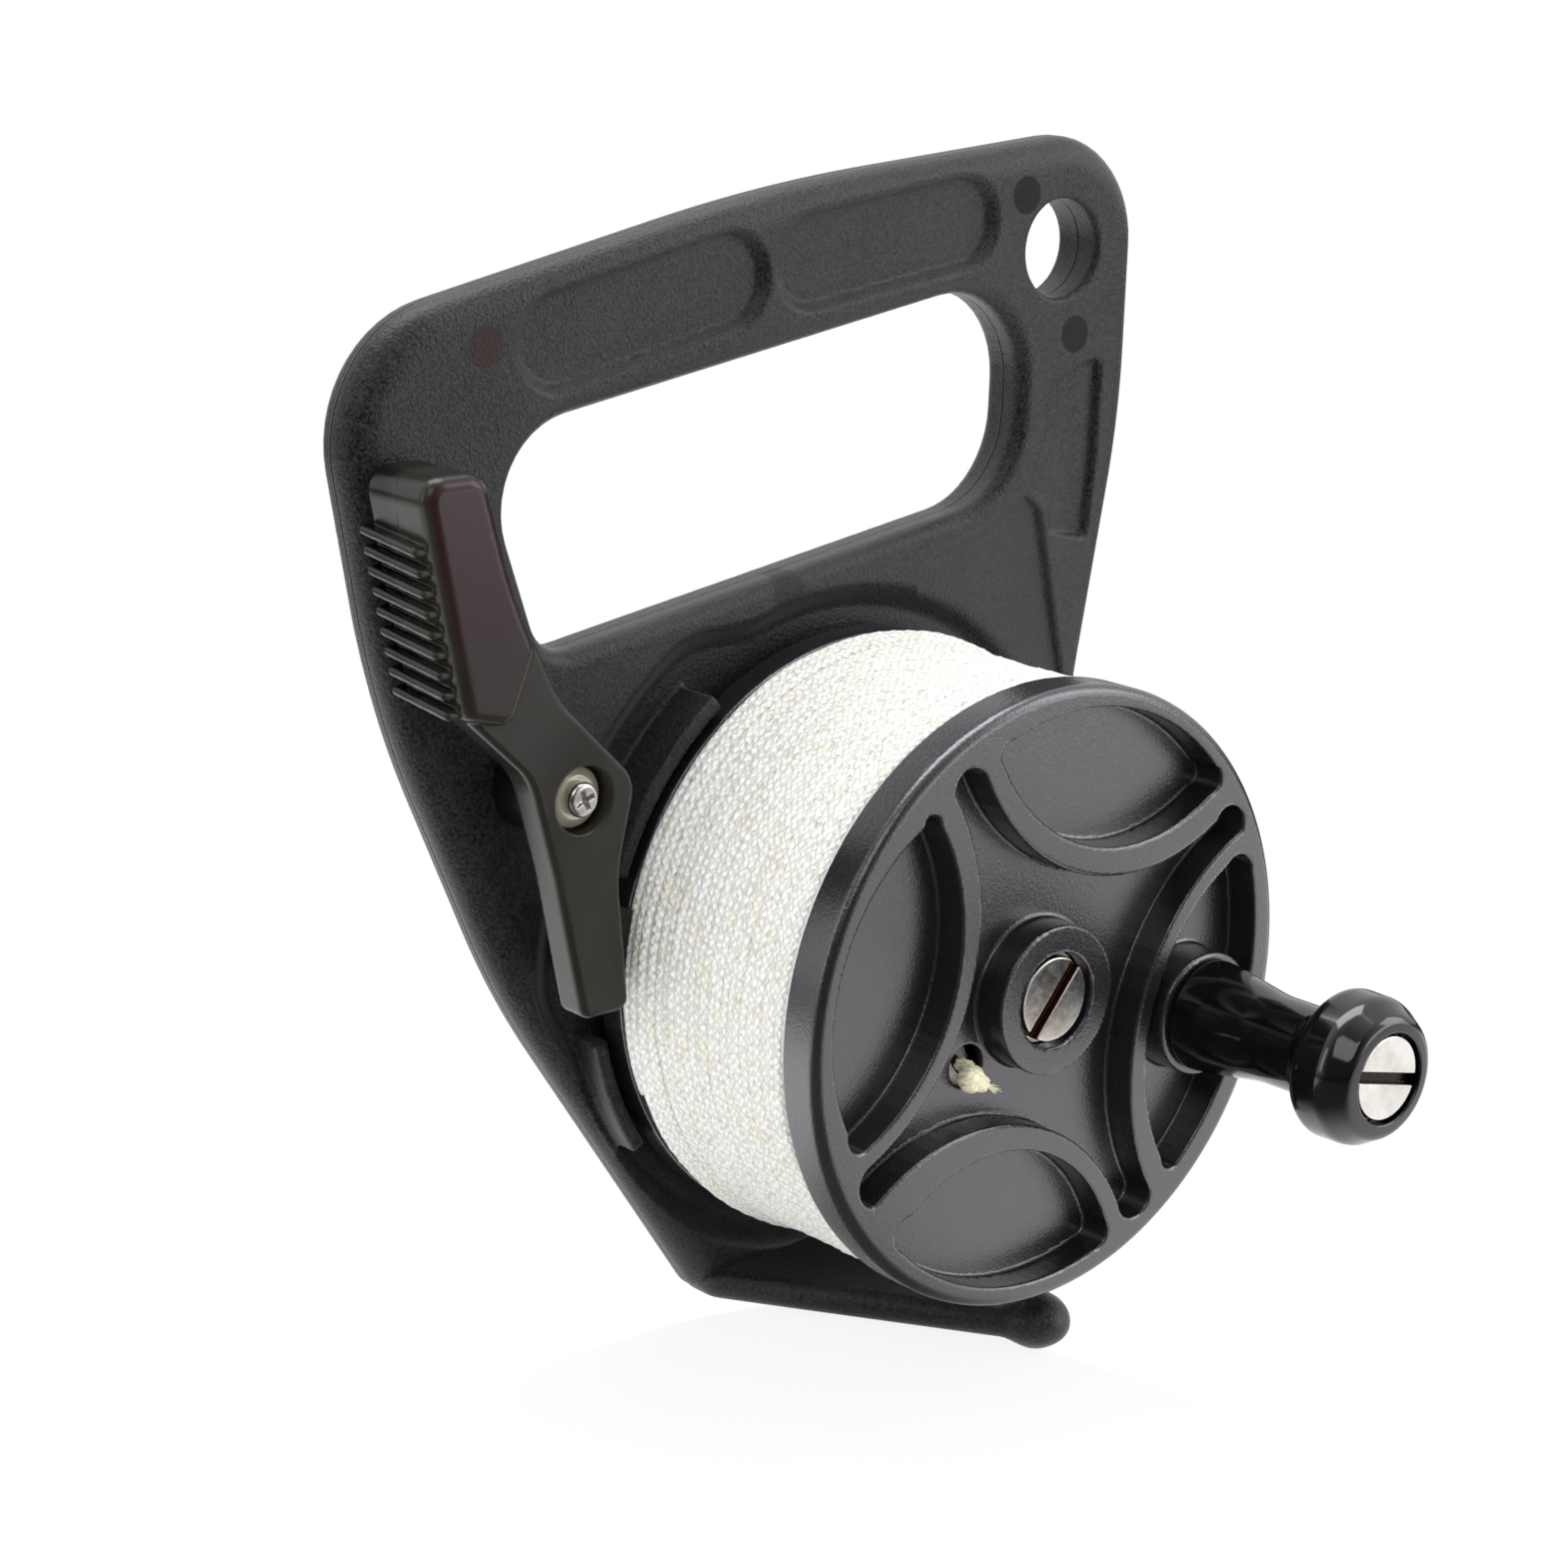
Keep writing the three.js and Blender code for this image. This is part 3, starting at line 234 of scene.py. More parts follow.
def field_surface(field, low, high, cell):
    """Points, outward normals and four-sided faces of the surface where field(x, y, z) is
    nothing. The field is worked out at the corners of a grid of cells. Each cell that the
    surface passes through holds one point, the mean of where the surface crosses its edges,
    and each crossed grid line joins the four cells round it with a face."""
    axes = [np.arange(a - cell, b + 2 * cell, cell) for a, b in zip(low, high)]
    x, y, z = np.ix_(*axes)
    value = np.broadcast_to(field(x, y, z), [len(a) for a in axes])
    inside = value < 0
    cells = tuple(len(a) - 1 for a in axes)
    total = np.zeros(cells + (3,))
    count = np.zeros(cells)
    for axis, along in enumerate(np.eye(3, dtype=int)):
        for offset in np.ndindex(*(2 - along)):
            near, far = [
                tuple(slice(o, o + n) for o, n in zip(corner, cells)) for corner in (offset, offset + along)]
            a, b = value[near], value[far]
            crossed = inside[near] != inside[far]
            share = np.where(crossed, a / np.where(crossed, a - b, 1), 0)
            count += crossed
            for k in range(3):
                total[..., k] += share if k == axis else crossed * offset[k]
    active = count > 0
    number = np.full(cells, -1)
    number[active] = np.arange(active.sum())
    corner = np.argwhere(active)
    share = total[active] / count[active][:, None]
    points = np.stack([axes[k][corner[:, k]] + share[:, k] * cell for k in range(3)], 1)

    faces = []
    for axis in range(3):
        u, v = (axis + 1) % 3, (axis + 2) % 3
        near, far = [slice(1, -1)] * 3, [slice(1, -1)] * 3
        near[axis], far[axis] = slice(0, -1), slice(1, None)
        a, b = inside[tuple(near)], inside[tuple(far)]
        place = np.argwhere(a != b)
        out = a[tuple(place.T)]
        ring = []
        for du, dv in ((0, 0), (1, 0), (1, 1), (0, 1)):
            spot = place.copy()
            spot[:, u] += du
            spot[:, v] += dv
            ring.append(number[tuple(spot.T)])
        quads = np.stack(ring, 1)
        quads[~out] = quads[~out][:, ::-1]
        faces.append(quads)

    points, normals = settled(field, points, cell)
    return points, normals, np.concatenate(faces)


def settled(field, points, cell):
    """Points moved onto the surface where the field is nothing, and the outward normals there.
    The field f at the corners of a small tetrahedron round each point p gives its slope s, and
    the point moves to p - f s / (s . s), by less than half a cell."""
    ways = np.array([(1, -1, -1), (-1, -1, 1), (-1, 1, -1), (1, 1, 1)])
    step = cell / 5
    value = np.stack([field(*(points + step * way).T) for way in ways], 1)
    slope = value @ ways / (4 * step)
    length = np.linalg.norm(slope, axis=1) + 1e-9
    normals = slope / length[:, None]
    move = np.clip(value.mean(1) / length, -cell / 2, cell / 2)
    return points - move[:, None] * normals, normals


def make_piece(name, points, faces, body, slot, material, replaces=(), normals=None, uv=None):
    """Points in millimetres about the spool's axis, and faces, as a smooth object that rides
    on a body and stands for the nodes it replaces."""
    mesh = bpy.data.meshes.new(name)
    raised = (np.asarray(points) + (0, 0, AXIS_UP)) * MM
    mesh.from_pydata(raised.tolist(), [], [list(map(int, face)) for face in faces])
    mesh.polygons.foreach_set("use_smooth", np.ones(len(mesh.polygons), bool))
    if uv is not None:
        layer = mesh.uv_layers.new(name="UVMap")
        index = np.empty(len(mesh.loops), np.int32)
        mesh.loops.foreach_get("vertex_index", index)
        layer.data.foreach_set("uv", uv[index].astype(np.float32).ravel())
    mesh.update()
    if normals is not None:
        mesh.normals_split_custom_set_from_vertices(normals.tolist())
    piece = bpy.data.objects.new(name, mesh)
    bpy.context.scene.collection.objects.link(piece)
    mesh.materials.append(material)
    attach(piece, body)
    if replaces:
        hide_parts(*replaces)


def moulded(name, field, low, high, cell, *look):
    """A piece whose surface is where its distance field is nothing. Its look is its body, slot,
    material and the nodes it replaces; the slot is not used."""
    points, normals, faces = field_surface(field, low, high, cell)
    make_piece(name, points, faces, *look, normals=normals)


def supported(profile, margin):
    """The profile with a point added near each end of every long straight, which keeps the
    shading of a flat face flat."""
    ahead = np.roll(profile, -1, 0)
    run = ahead - profile
    length = np.hypot(*run.T)
    wide = length > 4 * margin
    share = np.where(wide, margin / np.maximum(length, 1e-9), 0)[:, None]
    stacked = np.stack([profile, profile + run * share, ahead - run * share], 1)
    keep = np.stack([np.full(len(profile), True), wide, wide], 1)
    return stacked[keep]


def grid_faces(rows, columns, rows_close):
    """Four-sided faces that join a grid of points whose columns close round."""
    i = np.arange(rows if rows_close else rows - 1)[:, None]
    j = np.arange(columns)[None]
    below, right = (i + 1) % rows, (j + 1) % columns
    quads = np.stack([
        i * columns + j, i * columns + right, below * columns + right, below * columns + j], 2)
    return quads.reshape(-1, 4)


def outward(points, faces):
    """The faces, turned over if the solid that they close has a negative volume."""
    a, b, c, d = (points[faces[:, k]] for k in range(4))
    volume = (np.cross(b - a, c - a) * a).sum() + (np.cross(c - a, d - a) * a).sum()
    return faces if volume > 0 else faces[:, ::-1]


def turned(name, corners, sides, *look, place=(0, 0), steps=5):
    """A closed profile of corners (radius, y, rounding) turned about the line along Y through
    place: x = r cos a, z = r sin a."""
    profile = supported(rounded_outline(corners, steps), 0.12)
    radius, y = np.maximum(profile[:, 0], 0), profile[:, 1]
    angle = np.linspace(0, 2 * math.pi, sides, endpoint=False)
    points = np.stack([
        place[0] + np.outer(np.cos(angle), radius), np.broadcast_to(y, (sides, len(y))),
        place[1] + np.outer(np.sin(angle), radius)], 2).reshape(-1, 3)
    make_piece(name, points, outward(points, grid_faces(sides, len(y), True)), *look)


def swept_tube(path, radius, sides, up, swell=None):
    """A closed tube along a path: each ring stands square to the run, at
    p + r (cos a * across + sin a * over). swell adds to the radius at each point of the grid."""
    run = np.gradient(path, axis=0)
    run /= np.linalg.norm(run, axis=1)[:, None]
    across = np.cross(run, up)
    across /= np.linalg.norm(across, axis=1)[:, None]
    over = np.cross(across, run)
    angle = np.linspace(0, 2 * math.pi, sides, endpoint=False)[:, None]
    size = np.broadcast_to(radius, (len(path), sides)) + (0 if swell is None else swell)
    points = path[:, None] + size[..., None] * (
        np.cos(angle) * across[:, None] + np.sin(angle) * over[:, None])
    return points.reshape(-1, 3), grid_faces(len(path), sides, False)

# Shader nodes

def feed(tree, node, inputs):
    """Each input of a node, by name or number, takes a link from a socket, or a constant."""
    for key, value in dict(inputs).items():
        if isinstance(value, bpy.types.NodeSocket):
            tree.links.new(value, node.inputs[key])
        else:
            node.inputs[key].default_value = value


def add(tree, kind, inputs=(), **settings):
    """A node in a tree, with its settings made and its inputs fed."""
    node = tree.nodes.new(kind)
    for key, value in settings.items():
        setattr(node, key, value)
    feed(tree, node, inputs)
    return node


def arithmetic(tree, operation, *values, clamp=False):
    """A Math node's result, from sockets or numbers."""
    return add(tree, "ShaderNodeMath", enumerate(values), operation=operation, use_clamp=clamp).outputs[0]


def product(tree, value, *factors):
    """A socket's value multiplied by each factor in turn."""
    for factor in factors:
        value = arithmetic(tree, "MULTIPLY", value, factor)
    return value


def vector(tree, operation, *values, output="Vector"):
    """A Vector Math node's result."""
    return add(tree, "ShaderNodeVectorMath", enumerate(values), operation=operation).outputs[output]


def ranged(tree, value, low, high, start, end, kind="SMOOTHSTEP"):
    """From start to end as a value goes from low to high: level at both ends, or LINEAR."""
    return add(tree, "ShaderNodeMapRange", {
        "Value": value, "From Min": low, "From Max": high, "To Min": start, "To Max": end},
        interpolation_type=kind).outputs["Result"]


def split(tree, place):
    """The X, Y and Z of a vector."""
    return add(tree, "ShaderNodeSeparateXYZ", {"Vector": place}).outputs


def two_tones(tree, value, low, dark, high, light):
    """A colour that goes from dark to light as a value goes from low to high."""
    ramp = add(tree, "ShaderNodeValToRGB", {"Fac": value})
    for i, (position, colour) in enumerate(((low, dark), (high, light))):
        ramp.color_ramp.elements[i].position = position
        ramp.color_ramp.elements[i].color = (*colour, 1)
    return ramp.outputs["Color"]


def bumped(tree, height, depth):
    """The normal of a surface that stands up by a height times a depth in millimetres."""
    return add(tree, "ShaderNodeBump", {"Height": height, "Distance": depth * MM}).outputs["Normal"]


def tinted(tree, shader, share, colour):
    """Over the shader's base colour, another colour shows by a share."""
    under = shader.inputs["Base Color"].links[0].from_socket
    mix = add(tree, "ShaderNodeMix", {"Factor": share, 6: under, 7: (*colour, 1)}, data_type="RGBA")
    tree.links.new(mix.outputs[2], shader.inputs["Base Color"])


def new_group(name, inputs, outputs):
    """An empty shader group with float and vector sockets by name: the group, what comes into
    it and the node that its results go to."""
    group = bpy.data.node_groups.new(name, "ShaderNodeTree")
    kinds = {"float": "NodeSocketFloat", "vector": "NodeSocketVector"}
    for way, sockets in (("INPUT", inputs), ("OUTPUT", outputs)):
        for label, kind in sockets.items():
            group.interface.new_socket(label, in_out=way, socket_type=kinds[kind])
    return group, add(group, "NodeGroupInput").outputs, add(group, "NodeGroupOutput")


def grain_group():
    """Moulded grain: fine noise for the height of the grain and broad noise for how the
    surface dulls, both in object coordinates."""
    group, given, end = new_group(
        "moulded_grain", {"Position": "vector", "Grain scale": "float", "Patch scale": "float"},
        {"Height": "float", "Patches": "float", "Speckle": "float"})

    def texture(kind, scale, **more):
        return add(group, kind, {"Vector": given["Position"], "Scale": given[scale], **more}).outputs
    fine = texture("ShaderNodeTexNoise", "Grain scale", Detail=3.0, Roughness=0.6)["Fac"]
    broad = texture("ShaderNodeTexNoise", "Patch scale", Detail=4.0, Roughness=0.55)["Fac"]
    cells = texture("ShaderNodeTexVoronoi", "Grain scale")["Distance"]
    height = arithmetic(group, "MULTIPLY_ADD", cells, 0.5, fine)
    feed(group, end, {"Height": height, "Patches": broad, "Speckle": fine})
    return group


def round_mark_group():
    """A disc's mask on a flat face: 1 within Radius of Middle across X and Z, 0 outside."""
    group, given, end = new_group(
        "round_mark", {"Position": "vector", "Middle": "vector", "Radius": "float"}, {"Mask": "float"})
    flat = vector(group, "MULTIPLY", given["Position"], (1, 0, 1))
    off = vector(group, "DISTANCE", flat, given["Middle"], output="Value")
    past = arithmetic(group, "DIVIDE", off, given["Radius"])
    feed(group, end, {"Mask": ranged(group, past, 0.92, 1.04, 1.0, 0.0)})
    return group


def braid_group():
    """A braid on (length, turn) coordinates: two families of strands run round the line both
    ways, u = turn * n + length and v = turn * n - length. Each diamond where they cross shows
    one strand's bump, |sin(pi u)|^1.2 |sin(pi v)|^0.35 or the same with u and v changed over,
    long along the strand that lies on top. Noise in object coordinates pushes them about."""
    group, given, end = new_group(
        "braid", {"Along": "vector", "Position": "vector", "Strands": "float", "Lay": "float",
                  "Wander": "float"},
        {"Height": "float", "Crevice shade": "float"})
    noise = add(group, "ShaderNodeTexNoise", {"Vector": given["Position"], "Scale": 650.0, "Detail": 2.0})
    push = vector(group, "SUBTRACT", noise.outputs["Color"], (0.5, 0.5, 0.5))
    push = vector(group, "MULTIPLY", push, (1.0, 0.16, 0.0))
    push = add(group, "ShaderNodeVectorMath", {0: push, "Scale": given["Wander"]}, operation="SCALE")
    parts = split(group, vector(group, "ADD", given["Along"], push.outputs["Vector"]))
    length = product(group, parts["X"], given["Lay"])
    around = product(group, parts["Y"], given["Strands"])
    u = arithmetic(group, "ADD", around, length)
    v = arithmetic(group, "SUBTRACT", around, length)
    wide, narrow, floors = [], [], []
    for family in (u, v):
        wave = arithmetic(group, "ABSOLUTE", arithmetic(group, "SINE", product(group, family, math.pi)))
        wide.append(arithmetic(group, "POWER", wave, 1.2))
        narrow.append(arithmetic(group, "POWER", wave, 0.35))
        floors.append(arithmetic(group, "FLOOR", family))
    first = product(group, wide[0], narrow[1])
    second = product(group, wide[1], narrow[0])
    even = arithmetic(group, "MODULO", arithmetic(group, "ADD", *floors), 2.0)
    on_top = arithmetic(group, "ABSOLUTE", even)
    step = product(group, arithmetic(group, "SUBTRACT", second, first), on_top)
    height = arithmetic(group, "ADD", first, step)
    # This share sets the painted shade between strands: it falls to nothing where they dip, and there the
    # yarn is painted darker.
    feed(group, end, {"Height": height, "Crevice shade": arithmetic(group, "POWER", height, 0.5, clamp=True)})
    return group


GRAIN = grain_group()
BRAID = braid_group()
ROUND_MARK = round_mark_group()


# Materials

def new_material(name, grain_scale, patch_scale):
    """A material: itself, its tree, its Principled shader, its coordinates and the grain."""
    material = bpy.data.materials.new(name)
    material.use_nodes = True
    tree = material.node_tree
    place = add(tree, "ShaderNodeTexCoord").outputs
    grain = add(tree, "ShaderNodeGroup", node_tree=GRAIN)
    feed(tree, grain, {
        "Position": place["Object"], "Grain scale": grain_scale, "Patch scale": patch_scale})
    return material, tree, tree.nodes["Principled BSDF"], place, grain.outputs


def reopened(material):
    """A material's tree, its Principled shader and its object coordinates."""
    tree = material.node_tree
    place = tree.nodes["Texture Coordinate"].outputs["Object"]
    return tree, tree.nodes["Principled BSDF"], place


def moulded_material(name, dark, light, roughness, spread, grain_scale, grain_depth,
                     patch_scale=60.0, seam_at=None, sheen=0.5, index=1.5, speckle=0.0,
                     cast=(1, 1, 1), dust=0.0):
    """Moulded nylon: colour drifts over the surface in patches, fine grain stands up as bump,
    changes the roughness and shows in the colour by the share speckle, dust lightens the edges,
    and a parting line can run round the piece at one depth."""
    material, tree, shader, place, grain = new_material(name, grain_scale, patch_scale)
    drift = arithmetic(tree, "ADD", product(tree, grain["Patches"], 1.0 - speckle),
                       product(tree, grain["Speckle"], speckle))
    height = grain["Height"]
    if seam_at is not None:
        depth = split(tree, place["Object"])["Y"]
        off = arithmetic(tree, "ABSOLUTE", arithmetic(tree, "SUBTRACT", depth, seam_at * MM))
        seam = ranged(tree, off, 0.0, SEAM_WIDTH * MM, SEAM_HEIGHT, 0.0, "LINEAR")
        height = arithmetic(tree, "ADD", height, seam)
    feed(tree, shader, {
        "Base Color": two_tones(tree, drift, 0.3 + 0.1 * speckle, dark, 0.7 - 0.1 * speckle, light),
        "Roughness": ranged(
            tree, grain["Speckle"], 0.3, 0.7, roughness - spread, roughness + spread, "LINEAR"),
        "Normal": bumped(tree, height, grain_depth), "Specular IOR Level": sheen, "IOR": index,
        "Specular Tint": (*cast, 1), "Sheen Weight": dust, "Sheen Roughness": 0.35})
    return material


def mark_moulding(material, marks):
    """Ejector marks on the front of a moulded material: flat, rougher discs of another colour,
    each given as its middle (x, z) about the axis, its colour and how strongly it shows."""
    tree, shader, place = reopened(material)
    ahead = ranged(
        tree, split(tree, place)["Y"], PLATE_MIDDLE * MM, (PLATE_MIDDLE + 0.5) * MM, 1.0, 0.0)
    for (x, z), colour, strength in marks:
        mark = add(tree, "ShaderNodeGroup", node_tree=ROUND_MARK)
        feed(tree, mark, {
            "Position": place, "Middle": (x * MM, 0, (z + AXIS_UP) * MM), "Radius": MARK_RADIUS * MM})
        share = product(tree, mark.outputs["Mask"], strength, ahead)
        tinted(tree, shader, share, colour)
        under = shader.inputs["Roughness"].links[0].from_socket
        dull = add(tree, "ShaderNodeMix", {"Factor": share, 2: under, 3: 0.85}, data_type="FLOAT")
        tree.links.new(dull.outputs[0], shader.inputs["Roughness"])


def tint_and_painted_shade(material, colour, low, high, front, back):
    """The colour of a moulded material drifts to another from one height to a higher one, and
    back to its own from one depth to another. It lays the lever's own reddish tint, and also
    painted shade that darkens the lever's back half."""
    tree, shader, place = reopened(material)
    parts = split(tree, place)
    up = ranged(tree, parts["Z"], (low + AXIS_UP) * MM, (high + AXIS_UP) * MM, 0.0, 1.0)
    ahead = ranged(tree, parts["Y"], front * MM, back * MM, 1.0, 0.0)
    tinted(tree, shader, product(tree, up, ahead), colour)


def metal_material(name, colour, tint, roughness):
    """Plated or plain metal with fine turning marks and a faint stain."""
    material, tree, shader, _, grain = new_material(name, 900.0, 220.0)
    feed(tree, shader, {
        "Base Color": two_tones(tree, grain["Patches"], 0.35, tint, 0.6, colour), "Metallic": 1.0,
        "Roughness": ranged(
            tree, grain["Speckle"], 0.0, 1.0, roughness * 0.6, roughness * 1.5, "LINEAR"),
        "Normal": bumped(tree, grain["Height"], 0.01)})
    return material


def slot_darkened_metal(name, colour, tint, roughness, slot_colour, front, depth):
    """Plated metal whose slot, deeper than the face at front, turns darker in another colour."""
    material = metal_material(name, colour, tint, roughness)
    tree, shader, place = reopened(material)
    sunk = ranged(
        tree, split(tree, place)["Y"], (front + 0.15) * MM, (front + depth) * MM, 0.0, 1.0, "LINEAR")
    tinted(tree, shader, sunk, slot_colour)
    return material


def braid_material(name, white, cream, crevice_shade, strands, lay, wander, depth):
    """Braided line: bumps follow the piece's UV map, with painted shade that darkens the yarn
    in the crevices between strands, and cream streaks run along it."""
    material, tree, shader, place, grain = new_material(name, 2600.0, 110.0)
    braid = add(tree, "ShaderNodeGroup", node_tree=BRAID)
    feed(tree, braid, {
        "Along": place["UV"], "Position": place["Object"], "Strands": strands, "Lay": lay,
        "Wander": wander})
    drawn = vector(tree, "MULTIPLY", place["UV"], (0.16, 3.2, 0.0))
    streak = add(tree, "ShaderNodeTexNoise", {"Vector": drawn, "Scale": 1.0, "Detail": 3.0})
    yarn = two_tones(tree, streak.outputs["Fac"], 0.36, cream, 0.50, white)
    # Painted shade: the yarn turns to the crevice colour where the strands dip.
    shade = add(tree, "ShaderNodeMix", {
        "Factor": braid.outputs["Crevice shade"], 6: (*crevice_shade, 1), 7: yarn}, data_type="RGBA")
    height = arithmetic(tree, "ADD", braid.outputs["Height"], product(tree, grain["Height"], 0.25))
    feed(tree, shader, {
        "Base Color": shade.outputs[2], "Normal": bumped(tree, height, depth), "Roughness": 0.62,
        "Sheen Weight": 0.15})
    return material


SEAM_WIDTH, SEAM_HEIGHT = 0.22, 5.0
MARK_RADIUS = 2.75

FRAME_NYLON = moulded_material(
    "frame_nylon_finish", (0.001, 0.001, 0.0012), (0.025, 0.0245, 0.027), 0.42, 0.06, 2300.0, 0.10,
    patch_scale=45.0, seam_at=PLATE_MIDDLE, sheen=0.42, speckle=0.8, cast=(0.98, 0.96, 1.0), dust=0.14)
LEVER_NYLON = moulded_material(
    "lever_nylon_finish", (0.013, 0.012, 0.0098), (0.019, 0.018, 0.0145), 0.24, 0.03, 2600.0, 0.006,
    patch_scale=70.0, seam_at=-15.6, sheen=0.38)
SPOOL_NYLON = moulded_material(
    "spool_nylon_finish", (0.007, 0.0062, 0.0075), (0.011, 0.010, 0.012), 0.24, 0.04, 2600.0, 0.035,
    patch_scale=55.0, sheen=1.0, index=1.62, cast=(0.98, 0.95, 1.0))
KNOB_GLOSS = moulded_material(
    "knob_gloss_finish", (0.002, 0.002, 0.002), (0.004, 0.004, 0.004), 0.11, 0.02, 900.0, 0.0015,
    patch_scale=120.0, sheen=0.8)
# The top of the thumb grip's front face is reddish, and the back half of the lever is darker with painted
# shade.
tint_and_painted_shade(LEVER_NYLON, (0.020, 0.006, 0.0075), 40.0, 64.0, -22.4, -21.8)
# Painted shade: the lever's colour darkens to near black towards its back.
tint_and_painted_shade(LEVER_NYLON, (0.003, 0.003, 0.003), -100.0, -99.0, -13.0, -16.5)
RUBBER = moulded_material(
    "rubber_finish", (0.012, 0.012, 0.012), (0.022, 0.022, 0.021), 0.75, 0.08, 1800.0, 0.06)
LEVER_WASHER = moulded_material(
    "lever_washer_finish", (0.34, 0.31, 0.22), (0.48, 0.45, 0.33), 0.14, 0.04, 900.0, 0.004,
    sheen=1.0, index=2.2)
ACETAL = moulded_material(
    "acetal_finish", (0.52, 0.44, 0.29), (0.66, 0.58, 0.42), 0.42, 0.08, 1800.0, 0.02)
NICKEL = metal_material("nickel_finish", (0.72, 0.71, 0.69), (0.58, 0.54, 0.50), 0.20)
# The axle bolt's slot turns darker brown, and the knob screw's slot near black.
AXLE_NICKEL = slot_darkened_metal(
    "axle_nickel_finish", (0.66, 0.64, 0.61), (0.50, 0.45, 0.40), 0.22,
    (0.10, 0.045, 0.025), -52.5, 0.7)
KNOB_NICKEL = slot_darkened_metal(
    "knob_nickel_finish", (0.80, 0.79, 0.76), (0.66, 0.61, 0.56), 0.24,
    (0.03, 0.026, 0.024), -86.75, 0.8)
STEEL = metal_material("steel_finish", (0.56, 0.56, 0.55), (0.44, 0.44, 0.43), 0.34)
BRASS = metal_material("brass_finish", (0.62, 0.46, 0.20), (0.50, 0.34, 0.14), 0.34)
# The third colour of each braid is the painted shade in its crevices.
LINE_BRAID = braid_material(
    "line_braid_finish", (0.95, 0.95, 0.93), (0.90, 0.88, 0.74), (0.66, 0.65, 0.61),
    6.0, 0.68, 1.1, 0.17)
KNOT_BRAID = braid_material(
    "knot_braid_finish", (0.96, 0.94, 0.80), (0.92, 0.86, 0.58), (0.80, 0.74, 0.50),
    3.0, 0.8, 0.5, 0.12)


# Handle frame

LANYARD = np.array([0.993, 2.142]) * FLANGE_RADIUS
LANYARD_RADIUS, LANYARD_MOUTH = 7.1, 0.8
COLLAR_INNER, COLLAR_OUTER, COLLAR_FOOT = 44.2, 46.4, -3.0
# Each length of the collar: first and last angle, front, rounding of its edge and of its foot.
COLLAR_LENGTHS = [(124, 159, -13.0, 0.5, 0.7), (189, 212, -11.5, 1.0, 1.6)]
RECESS_RADIUS = 45.4
PLATE_ROUNDING, GRIP_ROUNDING = 3.6, 2.4
STADIUMS = [((-1.10, 2.047), (-0.447, 2.167)), ((-0.102, 2.195), (0.535, 2.265))]
STADIUM_RADIUS, STADIUM_FLOOR = 7.0, -6.8
POCKET_STEP, POCKET_MOUTH = 0.5, 0.9
BOSS_RADIUS, BOSS_FRONT = 8.7, -6.2
BOLT_HOLE_RADIUS, NUT_ROOM_RADIUS, NUT_ROOM_FRONT = 3.3, 9.4, -2.4
PIVOT_HOLE_RADIUS, PIVOT_HOLE_BACK = 1.8, -2.1
EJECTOR_MARKS = np.array([(0.819, 2.333), (1.056, 1.851), (-1.372, 2.06), (-0.209, 1.153)])
TONGUE_TOP, TONGUE_THICKNESS = -48.0, 4.3
BEAD_PLACE, BEAD_RADIUS = (4.0, -46.2), 4.15
TONGUE_SHARES = [
    (-0.565, 0.0, 0.1), (-0.565, -0.195, 0.116), (-0.023, -1.074, 0.116), (0.035, -1.19, 0.116),
    (0.151, -1.19, 0.116), (0.209, -1.074, 0.116), (0.49, -0.195, 0.116), (0.49, 0.0, 0.1),
]

FRAME_EDGE = rounded_reader(FRAME_OUTLINE_SHARES, 14)
GRIP_EDGE = rounded_reader(GRIP_OUTLINE_SHARES, 12, 12.0)
STRIP_EDGE = rounded_reader(STRIP_POCKET_SHARES, 8)
CORNER_EDGE = rounded_reader(CORNER_POCKET_SHARES, 8)
TONGUE_EDGE = rounded_reader(TONGUE_SHARES, 8)


def turn_about_axis(x, z):
    """The angle of (x, z) about the spool's axis, from 0 to 360 degrees."""
    return np.degrees(np.arctan2(z, x)) % 360


def arc_band(x, z, inner, outer, start, end):
    """Distance to a band about the axis from one angle to another, in degrees."""
    radius = np.hypot(x, z)
    off = np.abs(turn_about_axis(x, z) - (start + end) / 2) - (end - start) / 2
    return np.maximum(between(radius, inner, outer), np.radians(off) * radius)


